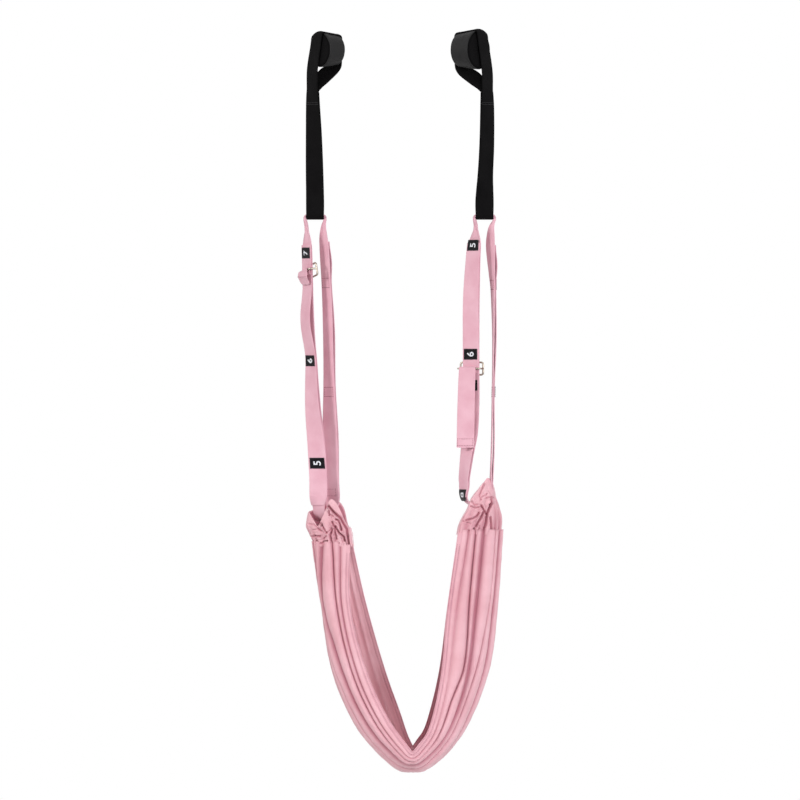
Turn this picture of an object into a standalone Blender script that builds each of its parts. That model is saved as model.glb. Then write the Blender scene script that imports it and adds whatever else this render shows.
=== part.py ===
# Aerial yoga rope: a narrow gathered sling hung from two loops of flat webbing with sewn hand loops,
# each of which hangs in a black webbing loop whose foam roll stays behind a shut door.
# Metres, +Z up, the sling's own width runs along X and the viewer looks along +Y.
# The origin is halfway between the two foam rolls, which hold everything up.
import bpy
import bmesh
import math
from mathutils import Vector, Matrix

MM = 0.001

# Driving sizes, in millimetres and degrees
WEB_WIDTH = 30.0
WEB_THICK = 2.0
PLY_THICK = 1.6
SEAT_GAP = 0.3
HALF_SPAN = 141.5
ROLL_X = {-1: 119.5, 1: 116.15}
ROLL_LENGTH = 37.0
ROLL_NEAR_RADIUS = 27.4
ROLL_FAR_RADIUS = 22.6
ROLL_TURN = 37.0
ROLL_SIZE = {-1: 1.0, 1: 1.13}
COVER_THICK = 1.6
NECK_ALONG = 20.6
NECK_SIDE = 15.5
NECK_X = 145.3
NECK_Z = -83.5
NECK_RADIUS = 14.5
LINK_Z = -275.0
LINK_RADIUS = 7.45
BASE_HINGE_X = 133.0
BASE_HINGE_Z = -718.0
BASE_HINGE_RADIUS = 19.4
HINGE_GAP = 0.4
LABEL_LENGTH = 18.0
LABEL_WIDTH = 25.0
LABEL_THICK = 0.6
SLIDER_WIDTH = 44.0
SLIDER_HEIGHT = 24.0
SLIDER_WIRE = 1.6
SLIDER_BACK_GAP = 3.0
TAIL_THICK = 1.3
TURNED_THICK = 1.4
CLOTH_THICK = 2.0
CLOTH_FOLDS = 6
HEM_WIDTH = 8.0
HEM_THICK = 3.6
HEM_GAP = 0.8

PINK = (0.82, 0.50, 0.58)
DEEP_PINK = (0.70, 0.38, 0.46)
BLACK = (0.022, 0.022, 0.025)
METAL = (0.62, 0.58, 0.54)


def clear_scene():
    for thing in list(bpy.data.objects):
        bpy.data.objects.remove(thing, do_unlink=True)


def material(name, colour, roughness, metallic=0.0):
    made = bpy.data.materials.new(name)
    made.use_nodes = True
    shader = made.node_tree.nodes["Principled BSDF"]
    shader.inputs["Base Color"].default_value = (*colour, 1.0)
    shader.inputs["Roughness"].default_value = roughness
    shader.inputs["Metallic"].default_value = metallic
    return made


def add_object(name, shape, made_of):
    bmesh.ops.recalc_face_normals(shape, faces=shape.faces)
    mesh = bpy.data.meshes.new(name)
    shape.to_mesh(mesh)
    shape.free()
    mesh.materials.append(made_of)
    mesh.shade_smooth()
    mesh.set_sharp_from_angle(angle=math.radians(40))
    thing = bpy.data.objects.new(name, mesh)
    bpy.context.scene.collection.objects.link(thing)
    return thing


# Smooth values between keys, each key being a tuple whose first entry is the parameter
def between(keys, at):
    rising = keys[-1][0] > keys[0][0]
    spots = [key[0] if rising else -key[0] for key in keys]
    at = at if rising else -at
    last = len(keys) - 2
    i = 0
    while i < last and at > spots[i + 1]:
        i += 1
    values = []
    for k in range(1, len(keys[0])):
        def slope(j):
            low, high = max(j - 1, 0), min(j + 1, len(keys) - 1)
            return (keys[high][k] - keys[low][k]) / (spots[high] - spots[low])
        step = spots[i + 1] - spots[i]
        u = min(max((at - spots[i]) / step, 0.0), 1.0)
        h00 = 2 * u ** 3 - 3 * u ** 2 + 1
        h10 = u ** 3 - 2 * u ** 2 + u
        h01 = 3 * u ** 2 - 2 * u ** 3
        h11 = u ** 3 - u ** 2
        values.append(h00 * keys[i][k] + h10 * step * slope(i)
                      + h01 * keys[i + 1][k] + h11 * step * slope(i + 1))
    return values


# Direction of a webbing's width, turned from +X about the vertical
def across(turn):
    return Vector((math.cos(math.radians(turn)), math.sin(math.radians(turn)), 0.0))


# Points of a flat webbing's section: width along u, thickness along v, edges narrowed
def web_section(width, thick):
    half, side = width / 2, thick / 2
    flat = half - 0.7
    return [(-half, 0), (-flat, side), (flat, side), (half, 0), (flat, -side), (-flat, -side)]


# A webbing swept through stations of (centre, width direction, width, thickness), all in mm
def sweep_webbing(shape, stations):
    rings = []
    for i, (centre, wide, width, thick) in enumerate(stations):
        before = stations[max(i - 1, 0)][0]
        after = stations[min(i + 1, len(stations) - 1)][0]
        along = (after - before).normalized()
        inward = along.cross(wide).normalized()
        rings.append([shape.verts.new((centre + wide * u + inward * v) * MM)
                      for u, v in web_section(width, thick)])
    for low, high in zip(rings, rings[1:]):
        falling = low[0].co.z + low[3].co.z > high[0].co.z + high[3].co.z
        for i in range(6):
            j = (i + 1) % 6
            if (i < 3) == falling:
                shape.faces.new((low[i], low[j], high[j]))
                shape.faces.new((low[i], high[j], high[i]))
            else:
                shape.faces.new((low[i], low[j], high[i]))
                shape.faces.new((low[j], high[j], high[i]))
    shape.faces.new(rings[0])
    shape.faces.new(rings[-1])


def close_rings(shape, rings, loop=False):
    pairs = list(zip(rings, rings[1:]))
    if loop:
        pairs.append((rings[-1], rings[0]))
    for low, high in pairs:
        for i in range(len(low)):
            j = (i + 1) % len(low)
            shape.faces.new((low[i], low[j], high[j], high[i]))
    if not loop:
        shape.faces.new(rings[0])
        shape.faces.new(rings[-1])


# A round bar along a path, closed on itself or capped
def sweep_wire(shape, path, radius, sides=8, loop=False, up=Vector((0, 0, 1))):
    rings = []
    count = len(path)
    for i, centre in enumerate(path):
        before = path[(i - 1) % count] if loop else path[max(i - 1, 0)]
        after = path[(i + 1) % count] if loop else path[min(i + 1, count - 1)]
        along = (after - before).normalized()
        first = along.cross(up).normalized()
        second = first.cross(along)
        ring = []
        for k in range(sides):
            angle = 2 * math.pi * k / sides
            ring.append(shape.verts.new((centre + (first * math.cos(angle)
                                                   + second * math.sin(angle)) * radius) * MM))
        rings.append(ring)
    close_rings(shape, rings, loop)


# Cutters that give two webbings a round hinge line about X
def hinge_disc(name, centre_x, height, radius, reach=60.0):
    shape = bmesh.new()
    rings = []
    for x in (centre_x - reach, centre_x + reach):
        ring = []
        for k in range(64):
            angle = 2 * math.pi * k / 64
            ring.append(shape.verts.new(Vector((x, radius * math.sin(angle),
                                                height + radius * math.cos(angle))) * MM))
        rings.append(ring)
    close_rings(shape, rings)
    return cutter(name, shape)


def hinge_saddle(name, centre_x, height, radius, reach=60.0):
    shape = bmesh.new()
    outline = [(-reach, 0.0)]
    for k in range(33):
        angle = math.pi * k / 32
        outline.append((-radius * math.cos(angle), radius * math.sin(angle)))
    outline += [(reach, 0.0), (reach, reach), (-reach, reach)]
    rings = []
    for x in (centre_x - reach, centre_x + reach):
        rings.append([shape.verts.new(Vector((x, y, height + z)) * MM) for y, z in outline])
    close_rings(shape, rings)
    return cutter(name, shape)


def cutter(name, shape):
    bmesh.ops.recalc_face_normals(shape, faces=shape.faces)
    mesh = bpy.data.meshes.new(name)
    shape.to_mesh(mesh)
    shape.free()
    thing = bpy.data.objects.new(name, mesh)
    bpy.context.scene.collection.objects.link(thing)
    thing.hide_render = True
    thing.display_type = "WIRE"
    return thing


def boolean(thing, other, operation):
    cut = thing.modifiers.new(operation.lower(), "BOOLEAN")
    cut.operation = operation
    cut.solver = "EXACT"
    cut.object = other


# Foam roll with softened rims, turned about the anchor's own axis
def roll_frame(side):
    turn = math.radians(ROLL_TURN)
    length_way = Vector((-side * math.cos(turn), math.sin(turn), 0))
    side_way = Vector((side * math.sin(turn), math.cos(turn), 0))
    return Vector((side * ROLL_X[side], 0, 0)), length_way, side_way


def roll_radius(along):
    share = along / ROLL_LENGTH + 0.5
    return ROLL_NEAR_RADIUS + (ROLL_FAR_RADIUS - ROLL_NEAR_RADIUS) * share


def turned(shape, side, profile, segments=28, closed=False):
    centre, length_way, side_way = roll_frame(side)
    size = ROLL_SIZE[side]
    up = Vector((0, 0, 1))
    rings = []
    for along, radius in profile:
        ring = []
        for k in range(segments):
            angle = 2 * math.pi * k / segments
            spoke = side_way * math.cos(angle) + up * math.sin(angle)
            place = centre + (length_way * along + spoke * radius) * size
            ring.append(shape.verts.new(place * MM))
        rings.append(ring)
    close_rings(shape, rings, closed)


def foam_roll(name, side, made_of):
    half = ROLL_LENGTH / 2
    near, far = roll_radius(-half), roll_radius(half)
    profile = [(-half, 7.0), (-half, near - 4.0), (-half + 1.2, near - 1.2),
               (-half + 4.0, roll_radius(-half + 4)), (half - 4.0, roll_radius(half - 4)),
               (half - 1.2, far - 1.2), (half, far - 4.0), (half, 7.0)]
    shape = bmesh.new()
    turned(shape, side, profile)
    return add_object(name, shape, made_of)


def roll_cover(name, side, made_of):
    half = ROLL_LENGTH / 2 - 1.6
    inner, outer = SEAT_GAP, SEAT_GAP + COVER_THICK
    profile = [(-half, roll_radius(-half) + inner), (-half, roll_radius(-half) + outer - 0.5),
               (-half + 1.0, roll_radius(-half + 1) + outer), (0.0, roll_radius(0) + outer),
               (half - 1.0, roll_radius(half - 1) + outer), (half, roll_radius(half) + outer - 0.5),
               (half, roll_radius(half) + inner), (0.0, roll_radius(0) + inner)]
    shape = bmesh.new()
    turned(shape, side, profile, closed=True)
    return add_object(name, shape, made_of)


# The webbing that runs up the near end of the roll, over it, down the far end and back to the neck.
# Each station holds its place along the roll, sideways and in height, how far it bends round the roll,
# and its twist about its own run; the places grow with the roll
def anchor_wrap(name, side, made_of):
    centre, length_way, side_way = roll_frame(side)
    size = ROLL_SIZE[side]
    up = Vector((0, 0, 1))
    apart = (WEB_THICK / 2 + SEAT_GAP) / size
    over = COVER_THICK + SEAT_GAP + (SEAT_GAP * 1.4 + WEB_THICK / 2) / size
    near, far = roll_radius(-16) + over, roll_radius(16) + over
    low = NECK_Z + 2
    keys = [
        (-NECK_ALONG - apart, NECK_SIDE, low, 0, 0), (-NECK_ALONG - apart, NECK_SIDE, -70, 0, 0),
        (-NECK_ALONG - apart, NECK_SIDE, -38, 0, 0), (-20.8, 14.0, -20, 0, 0), (-20.6, 10.5, -3, 0.2, 0),
        (-20.6, 7.0, near - 17, 0.7, 0), (-20.6, 5.4, near - 8, 1, 0), (-20.4, 5.0, near - 4.6, 1, 0),
        (-19.4, 4.8, near - 1.8, 1, 0), (-17.2, 4.6, near, 1, 0), (-13.0, 4.4, roll_radius(-13) + over, 1, 0),
        (0.0, 4.0, roll_radius(0) + over, 1, 0), (13.0, 3.6, roll_radius(13) + over, 1, 0),
        (17.2, 3.5, far, 1, 0), (19.4, 3.5, far - 1.8, 1, 0), (20.4, 3.6, far - 4.6, 1, 0),
        (20.6, 3.8, far - 9, 0.9, 0), (20.6, 4.2, 2, 0.4, 0), (20.6, 4.8, -12, 0, 0),
        (20.2, 5.4, -20, 0, 4), (17.6, 6.2, -27, 0, 14), (12.0, 7.2, -32, 0, 26), (5.0, 8.4, -37.5, 0, 32),
        (-2.0, 9.8, -44, 0, 31), (-9.0, 11.6, -52, 0, 24), (-15.0, 13.7, -60.5, 0, 11),
        (-18.6, 15.1, -67.5, 0, 3), (-NECK_ALONG + apart, NECK_SIDE, -74, 0, 0),
        (-NECK_ALONG + apart, NECK_SIDE, low, 0, 0)]

    def level(height):
        bottom = -32 * size
        return height * size if height > -32 else bottom + (height + 32) * (low - bottom) / (low + 32)

    shape = bmesh.new()
    rings = []
    for i, (along, sideways, height, bend, twist) in enumerate(keys):
        before, after = keys[max(i - 1, 0)], keys[min(i + 1, len(keys) - 1)]
        run = Vector(((after[0] - before[0]) * size, level(after[2]) - level(before[2]))).normalized()
        radius = (roll_radius(min(max(along, -16), 16)) + over) * size
        spot = centre + (length_way * along + side_way * sideways) * size + up * level(height)
        flat = up * run.x - length_way * run.y
        swung = Matrix.Rotation(math.radians(twist), 3, flat.cross(side_way))
        columns = [-WEB_WIDTH / 2 + 0.7 + (WEB_WIDTH - 1.4) * k / 6 for k in range(7)]
        outline = [(-WEB_WIDTH / 2, 0)] + [(u, 1) for u in columns]
        outline += [(WEB_WIDTH / 2, 0)] + [(u, -1) for u in reversed(columns)]
        ring = []
        for u, facing in outline:
            offset = sideways * size + u
            lean = bend * offset / radius
            fall = bend * (math.sqrt(max(radius ** 2 - offset ** 2, 0)) - radius)
            normal = (side_way * lean + up * math.sqrt(1 - lean ** 2)) * run.x - length_way * run.y
            place = spot + swung @ (side_way * u + normal * facing * WEB_THICK / 2) + up * fall
            ring.append(shape.verts.new(place * MM))
        rings.append(ring)
    close_rings(shape, rings)
    return add_object(name, shape, made_of)


# Turn of the black webbing from its neck down to its fold, per side: height, turn, distance from the middle
ANCHOR_KEYS = {
    -1: [(-60.0, -53.0, 145.3), (-88.0, -46.0, 145.1), (-140.0, -33.0, 143.6),
         (-200.0, -18.0, 142.4), (-250.0, -5.0, 141.5), (-275.0, 0.0, 141.5)],
    1: [(-60.0, 53.0, 145.3), (-100.0, 45.0, 146.0), (-160.0, 40.0, 145.2),
        (-215.0, 34.0, 142.6), (-250.0, 10.0, 141.5), (-275.0, 0.0, 141.5)],
}


# Black loop: two plies that lie together, open out at the fold and pass round the pink webbing
def anchor_loop(name, side, made_of):
    keys = ANCHOR_KEYS[side]
    close, opening = WEB_THICK / 2 + SEAT_GAP, 40.0

    def ply(height, facing):
        turn, x = between(keys, height)
        share = min(max((LINK_Z + opening - height) / opening, 0.0), 1.0)
        spread = close + (LINK_RADIUS - close) * math.sin(share * math.pi / 2) ** 2
        wide = across(turn)
        inner = Vector((-wide.y, wide.x, 0))
        return Vector((side * x, 0, height)) + inner * spread * facing, wide

    top = NECK_Z + NECK_RADIUS + 4
    heights = [top + (LINK_Z - top) * i / 22 for i in range(23)]
    stations = []
    for height in heights:
        place, wide = ply(height, -1)
        stations.append((place, wide, WEB_WIDTH, WEB_THICK))
    for k in range(1, 12):
        angle = math.pi * k / 12
        place = Vector((side * HALF_SPAN, -LINK_RADIUS * math.cos(angle),
                        LINK_Z - LINK_RADIUS * math.sin(angle)))
        stations.append((place, across(0), WEB_WIDTH, WEB_THICK))
    for height in reversed(heights):
        place, wide = ply(height, 1)
        stations.append((place, wide, WEB_WIDTH, WEB_THICK))
    shape = bmesh.new()
    sweep_webbing(shape, stations)
    return add_object(name, shape, made_of)


# Legs of the pink webbing loops: height, x, y, turn, width, thickness
LEGS = {
    "left_front": [
        (-284, -159.8, 0, -88, 10.6, 5.0), (-294, -156.6, 0, -70, 13, 4.6), (-310, -154.9, -0.5, -60, 22, 3.2),
        (-330, -154.4, -1, -59, 30, 2), (-380, -153.0, -1.6, -59, 30, 2), (-430, -151.6, -2.2, -59, 30, 2),
        (-480, -149.6, -3, -57, 30, 2), (-519, -147.0, -4, -54, 30, 2), (-560, -145.4, -4.5, -47, 30, 2),
        (-601, -143.3, -5, -37, 30, 2), (-651, -139.6, -5.5, -20, 30, 2), (-690, -137.4, -6, -8, 30, 2),
        (-718, -136.0, -6.5, -4, 30, 2), (-745, -135.8, -8, -14, 30, 2)],
    "left_back": [
        (-284, -123.2, 0, -88, 10.6, 5.0), (-294, -127.0, 0, -70, 13, 4.6), (-310, -127.6, 0, -60, 22, 3.2),
        (-330, -126.3, 0.5, -60, 30, 2), (-390, -123.0, 1.5, -60, 30, 2), (-440, -120.8, 2, -58, 30, 2),
        (-520, -119.0, 3.5, -56, 30, 2), (-571, -118.0, 4, -50, 30, 2), (-610, -117.4, 5, -42, 30, 2),
        (-651, -116.8, 5.5, -33, 30, 2), (-690, -116.5, 6, -28, 30, 2), (-718, -115.8, 7, -27, 30, 2),
        (-745, -113.6, 10, -34, 30, 2)],
    "right_front": [
        (-284, 123.2, 0, -88, 10.6, 5.0), (-294, 126.6, 0, -65, 14, 4.5), (-310, 126.2, -0.5, -52, 24, 3),
        (-325, 124.6, -1, -45, 30, 2), (-351, 123.0, -2, -41, 30, 2), (-417, 120.3, -3, -31, 30, 2),
        (-484, 119.6, -4, -28, 30, 2), (-535, 119.6, -4.5, -28, 30, 2), (-590, 119.6, -5, -28, 30, 2),
        (-640, 118.0, -5, -36, 30, 2), (-668, 114.8, -5, -48, 30, 2), (-700, 110.8, -4, -56, 30, 2),
        (-718, 108.8, -3.5, -59, 30, 2), (-745, 108.6, -6, -62, 30, 2)],
    "right_back": [
        (-284, 159.8, 0, -88, 10.6, 5.0), (-294, 153.4, 0, -68, 14, 4.5), (-310, 151.7, 0, -62, 24, 3),
        (-330, 151.4, 0, -62, 30, 2), (-375, 154.0, 1, -72, 30, 2), (-400, 155.4, 2, -78, 30, 2),
        (-484, 156.2, 3, -86, 30, 2), (-600, 154.6, 3, -88, 30, 2), (-660, 153.5, 1, -88, 30, 2),
        (-718, 151.8, 0, -86, 30, 2), (-745, 151.0, 1, -80, 30, 2)],
}

# Where the second ply is sewn down on each leg, from the top, and how far it stands off between
TACKS = {
    "left_front": [(-326, 0.0), (-390, 6.2), (-514, 2.2), (-690, 1.2), (-760, 0.0)],
    "left_back": [(-320, 2.6), (-389, 2.2), (-571, 1.8), (-740, 0.0)],
    "right_front": [(-322, 1.4), (-513, 0.0), (-592, 1.8), (-760, 0.0)],
    "right_back": [(-326, 2.4), (-392, 1.6), (-571, 1.6), (-760, 0.0)],
}

# Middle heights of the number labels, which mark the sewn hand loops
LABELS = {
    "left_front": [-339, -519, -690],
    "left_back": [-389, -571],
    "right_front": [-326, -508, -560],
    "right_back": [-392, -571],
}


def leg(which, height):
    x, y, turn, width, thick = between(LEGS[which], height)
    wide = across(turn)
    inner = Vector((-wide.y, wide.x, 0))
    if which.endswith("back"):
        inner = -inner
    return Vector((x, y, height)), wide, inner, width, thick


# Heights shared by everything that lies on one leg, rising on the front legs and falling on the back ones
def leg_heights(which, top=-284.0, low=BASE_HINGE_Z - 4):
    marks = {-284.0, -294.0, -310.0, TACKS[which][0][0], BASE_HINGE_Z - 4}
    for middle in LABELS[which]:
        marks |= {middle - LABEL_LENGTH / 2, middle + LABEL_LENGTH / 2}
    marks = sorted(marks)
    heights = []
    for start, end in zip(marks, marks[1:]):
        steps = max(1, math.ceil((end - start) / 12.5))
        heights += [start + (end - start) * i / steps for i in range(steps)]
    heights = [h for h in heights + [marks[-1]] if low - 0.001 <= h <= top + 0.001]
    return heights if which.endswith("front") else heights[::-1]


def base_stations(which):
    stations = []
    for height in leg_heights(which):
        place, wide, inner, width, thick = leg(which, height)
        stations.append((place, wide, width, thick))
    return stations


# One length of webbing: up the front leg, over the black fold and down the back leg
def strap_webbing(name, side, made_of):
    word = "left" if side < 0 else "right"
    centre_x = side * HALF_SPAN
    stations = base_stations(word + "_front")
    reach, bend = 18.3, 6.0
    for k in range(1, 6):
        angle = math.radians(180 - 18 * k)
        place = Vector((centre_x - reach + bend + bend * math.cos(angle), 0,
                        LINK_Z - bend + bend * math.sin(angle)))
        stations.append((place, across(-90), 10.6, 5.0))
    for x in (-6.0, 0.0, 6.0):
        stations.append((Vector((centre_x + x, 0, LINK_Z)), across(-90), 10.6, 5.0))
    for k in range(5, 0, -1):
        angle = math.radians(18 * k)
        place = Vector((centre_x + reach - bend + bend * math.cos(angle), 0,
                        LINK_Z - bend + bend * math.sin(angle)))
        stations.append((place, across(-90), 10.6, 5.0))
    stations += base_stations(word + "_back")
    shape = bmesh.new()
    sweep_webbing(shape, stations)
    return add_object(name, shape, made_of)


def stand_off(which, height):
    tacks = TACKS[which]
    for (top, bulge), (bottom, unused) in zip(tacks, tacks[1:]):
        if bottom <= height <= top:
            share = (top - height) / (top - bottom)
            return bulge * math.sin(math.pi * share) ** 2
    return 0.0


# The second ply, sewn to the first at each label and standing off between them
def loop_ply(name, which, made_of):
    stations = []
    for height in leg_heights(which, top=TACKS[which][0][0]):
        place, wide, inner, width, thick = leg(which, height)
        out = thick / 2 + SEAT_GAP + PLY_THICK / 2 + stand_off(which, height)
        stations.append((place - inner * out, wide, WEB_WIDTH, PLY_THICK))
    shape = bmesh.new()
    sweep_webbing(shape, stations)
    return add_object(name, shape, made_of)


def number_label(name, which, middle, made_of):
    half = LABEL_LENGTH / 2
    stations = []
    for height in leg_heights(which, top=middle + half, low=middle - half):
        place, wide, inner, width, thick = leg(which, height)
        out = WEB_THICK / 2 + SEAT_GAP * 2 + PLY_THICK + LABEL_THICK / 2 + stand_off(which, height)
        stations.append((place - inner * out, wide, LABEL_WIDTH, LABEL_THICK))
    shape = bmesh.new()
    sweep_webbing(shape, stations)
    return add_object(name, shape, made_of)


# Three-bar slider: a ring behind the webbing and a bridge bar in front of it.
# Height, shift along X from the webbing's middle, turn, and how far it leans in the webbing's plane
SLIDERS = {"left_front": (-370.0, 0.0, -60.0, 14.0), "right_front": (-532.0, -1.5, -24.0, 0.0)}
BAR_OUT = 7.8


def slider_frame(which):
    height, shift, turn, lean = SLIDERS[which]
    above, below = leg(which, height + 25)[0], leg(which, height - 35)[0]
    up = (above - below).normalized()
    wide = across(turn)
    out = up.cross(wide).normalized() * -1
    tilt = Matrix.Rotation(math.radians(lean), 3, out)
    return leg(which, height)[0] + Vector((shift, 0, 0)), tilt @ wide, tilt @ up, out


def rounded_rectangle(half_width, half_height, corner, steps=3):
    points = []
    for number, (sx, sy) in enumerate(((1, 1), (-1, 1), (-1, -1), (1, -1))):
        for k in range(steps + 1):
            angle = math.radians(90 * (number + k / steps))
            points.append((sx * (half_width - corner) + corner * math.cos(angle),
                           sy * (half_height - corner) + corner * math.sin(angle)))
    return points


def slider(name, which, made_of):
    place, wide, up, out = slider_frame(which)
    half = SLIDER_WIDTH / 2 - SLIDER_WIRE
    back = -(WEB_THICK / 2 + SLIDER_BACK_GAP + SLIDER_WIRE)
    ring = [place + wide * u + up * v + out * back
            for u, v in rounded_rectangle(half, SLIDER_HEIGHT / 2 - SLIDER_WIRE, 4.0)]
    shape = bmesh.new()
    sweep_wire(shape, ring, SLIDER_WIRE, loop=True, up=out)
    body = add_object(name, shape, made_of)
    bridge = bmesh.new()
    path = []
    for u, v in ((-half, back), (-half, 1.0), (-half, 4.5), (-half + 1.0, 6.6), (-half + 3.0, BAR_OUT),
                 (half - 3.0, BAR_OUT), (half - 1.0, 6.6), (half, 4.5), (half, 1.0), (half, back)):
        path.append(place + wide * u + out * v)
    sweep_wire(bridge, path, SLIDER_WIRE * 0.94, up=up)
    boolean(body, cutter(name + "_bridge", bridge), "UNION")
    return body


# Free end of the webbing, folded over the slider's bar: drop, x, y and turn of the run that hangs in front.
# The left loop is set long, so that only a short end is left over; the right one is set short
TAILS = {
    "left_front": [(0, -162.9, -7.3, -60), (9, -162.6, -7.1, -60), (16, -159.4, -5.6, -60),
                   (22, -157.1, -4.6, -60)],
    "right_front": [(0, 112.4, -14.0, -24), (30, 111.4, -15.6, -20), (70, 110.4, -17.8, -15),
                    (132, 109.4, -20.4, -10)],
}

# The stretch of each tail where its end is turned back and sewn: from and to which drop
TURNED_ENDS = {"left_front": (4.0, 10.5), "right_front": (116.5, 129.0)}


def tail(name, which, made_of):
    place, wide, up, out = slider_frame(which)
    sideways = -1.6 if which == "right_front" else 0.0
    bar = place + out * BAR_OUT + wide * sideways
    round_bar = SLIDER_WIRE + 0.35 + TAIL_THICK / 2
    stations = []
    for drop in (8.0, 4.0):
        stations.append((bar - out * round_bar - up * drop, wide, WEB_WIDTH, TAIL_THICK))
    for k in range(9):
        angle = math.pi * k / 8
        spot = bar - out * round_bar * math.cos(angle) + up * round_bar * math.sin(angle)
        stations.append((spot, wide, WEB_WIDTH, TAIL_THICK))
    keys = TAILS[which]
    start, end = TURNED_ENDS[which]
    length = keys[-1][0]
    plain = [4, 9, 16, 24, 34, 46, 60, 75, 90, 105, start - 1.5, end + 1.5, length]
    drops = [drop for drop in plain if 4 <= drop <= length and not start <= drop <= end] + [start, end]
    for drop in sorted(drops):
        x, y, turn = between(keys, drop)
        hem = TURNED_THICK if start <= drop <= end else 0.0
        spot = Vector((x, y, bar.z - drop))
        stations.append((spot, across(turn), WEB_WIDTH, TAIL_THICK + hem))
    shape = bmesh.new()
    sweep_webbing(shape, stations)
    return add_object(name, shape, made_of)


# The webbing's lowest run, inside the sling's gathered casing: x, y, z and turn between the two legs
BASES = {
    -1: [(-136.0, -8.8, -754.0, -32.0)]
        + [(-124.0 - 12.0 * math.cos(math.pi * k / 10), 1.5 - 10.5 * math.cos(math.pi * k / 10),
            -763.0 - 24.0 * math.sin(math.pi * k / 10), -48.8) for k in range(11)]
        + [(-112.6, 11.4, -754.0, -43.0)],
    1: [(106.8, -6.0, -741.0, -67.0), (108.3, -6.0, -750.0, -74.0), (114.0, -5.0, -757.6, -80.0),
        (122.5, -4.0, -763.6, -84.0), (132.0, -2.5, -767.0, -86.0), (141.0, -1.0, -765.6, -88.0),
        (147.8, 0.0, -757.6, -88.0), (151.0, 0.4, -746.0, -86.0)],
}


def base_path(side, grow_width=0.0, grow_thick=0.0):
    word = "left" if side < 0 else "right"
    shift = (SEAT_GAP + PLY_THICK) / 2

    def leg_down(which, heights):
        found = []
        for height in heights:
            place, wide, inner, width, thick = leg(which, height)
            found.append((place - inner * shift, wide))
        return found

    top = BASE_HINGE_Z + BASE_HINGE_RADIUS + 6
    heights = [top, top - 12, BASE_HINGE_Z, -731, -744]
    if side > 0:
        heights = heights[:-1]
    places = leg_down(word + "_front", heights)
    places += [(Vector((x, y, z)), across(turn)) for x, y, z, turn in BASES[side]]
    places += leg_down(word + "_back", heights)[::-1]
    stack = WEB_THICK + SEAT_GAP + PLY_THICK
    return [(place, wide, WEB_WIDTH + grow_width, stack + grow_thick) for place, wide in places]


def webbing_base(name, side, made_of):
    shape = bmesh.new()
    sweep_webbing(shape, base_path(side))
    return add_object(name, shape, made_of)


# The label that rides on the right base just above its casing
def base_label(name, made_of):
    stations = []
    path = base_path(1)
    keys = [(path[i][0].z, *path[i][0], *path[i][1]) for i in range(2, 7)]
    for height in (-734.0, -739.0, -744.0, -748.0, -751.5):
        x, y, z, wide_x, wide_y, unused = between(keys, height)
        wide = Vector((wide_x, wide_y, 0)).normalized()
        ahead, behind = between(keys, height - 2), between(keys, height + 2)
        along = (Vector(ahead[:3]) - Vector(behind[:3])).normalized()
        out = along.cross(wide).normalized()
        reach = (WEB_THICK + SEAT_GAP + PLY_THICK + LABEL_THICK) / 2 + SEAT_GAP + 0.3
        stations.append((Vector((x, y, z)) + out * reach, wide, LABEL_WIDTH, LABEL_THICK))
    shape = bmesh.new()
    sweep_webbing(shape, stations)
    return add_object(name, shape, made_of)


# Gathered casings from the top down: least x, greatest x, half depth, height, slope along X, slope along Y
CASINGS = {
    -1: [(-152, -101, 27, -765, 0.15, 0.45), (-154.5, -97.5, 29, -777, 0.12, 0.35),
         (-156, -87, 30, -791, 0.08, 0.2), (-153.3, -82.3, 30, -805, 0.03, 0.1),
         (-145.8, -78.2, 28.5, -820, 0, 0)],
    1: [(141.5, 158, 20.5, -723, 0, 0), (127, 160, 23.5, -738, 0, 0), (118.5, 164, 26, -751.5, 0, 0),
        (111.5, 167.3, 28, -765, 0, 0), (105.5, 169, 29, -778, 0, 0), (97.5, 169, 28.5, -800, 0, 0)],
}
CASING_FOLDS = 11


def squarish(angle, power=2.6):
    c, s = math.cos(angle), math.sin(angle)
    return (math.copysign(abs(c) ** (2 / power), c), math.copysign(abs(s) ** (2 / power), s))


def casing(name, side, made_of):
    keys = [(float(i), *key) for i, key in enumerate(CASINGS[side])]
    shape = bmesh.new()
    segments = CASING_FOLDS * 4
    rings = []
    for i in range(2 * len(keys) - 1):
        low_x, high_x, half_y, height, slope_x, slope_y = between(keys, i / 2)
        middle, half_x = (low_x + high_x) / 2, (high_x - low_x) / 2
        ring = []
        for k in range(segments):
            angle = 2 * math.pi * k / segments
            fold = 1.0 + 0.045 * math.cos(CASING_FOLDS * angle + 0.5 * i)
            u, v = squarish(angle)
            px, py = u * half_x * fold, v * half_y * fold
            ring.append(shape.verts.new(Vector((middle + px, py, height + slope_x * px + slope_y * py)) * MM))
        rings.append(ring)
    close_rings(shape, rings)
    body = add_object(name, shape, made_of)
    room = bmesh.new()
    sweep_webbing(room, base_path(side, 0.9, 0.9))
    boolean(body, cutter(name + "_tunnel", room), "DIFFERENCE")
    return body


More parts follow.
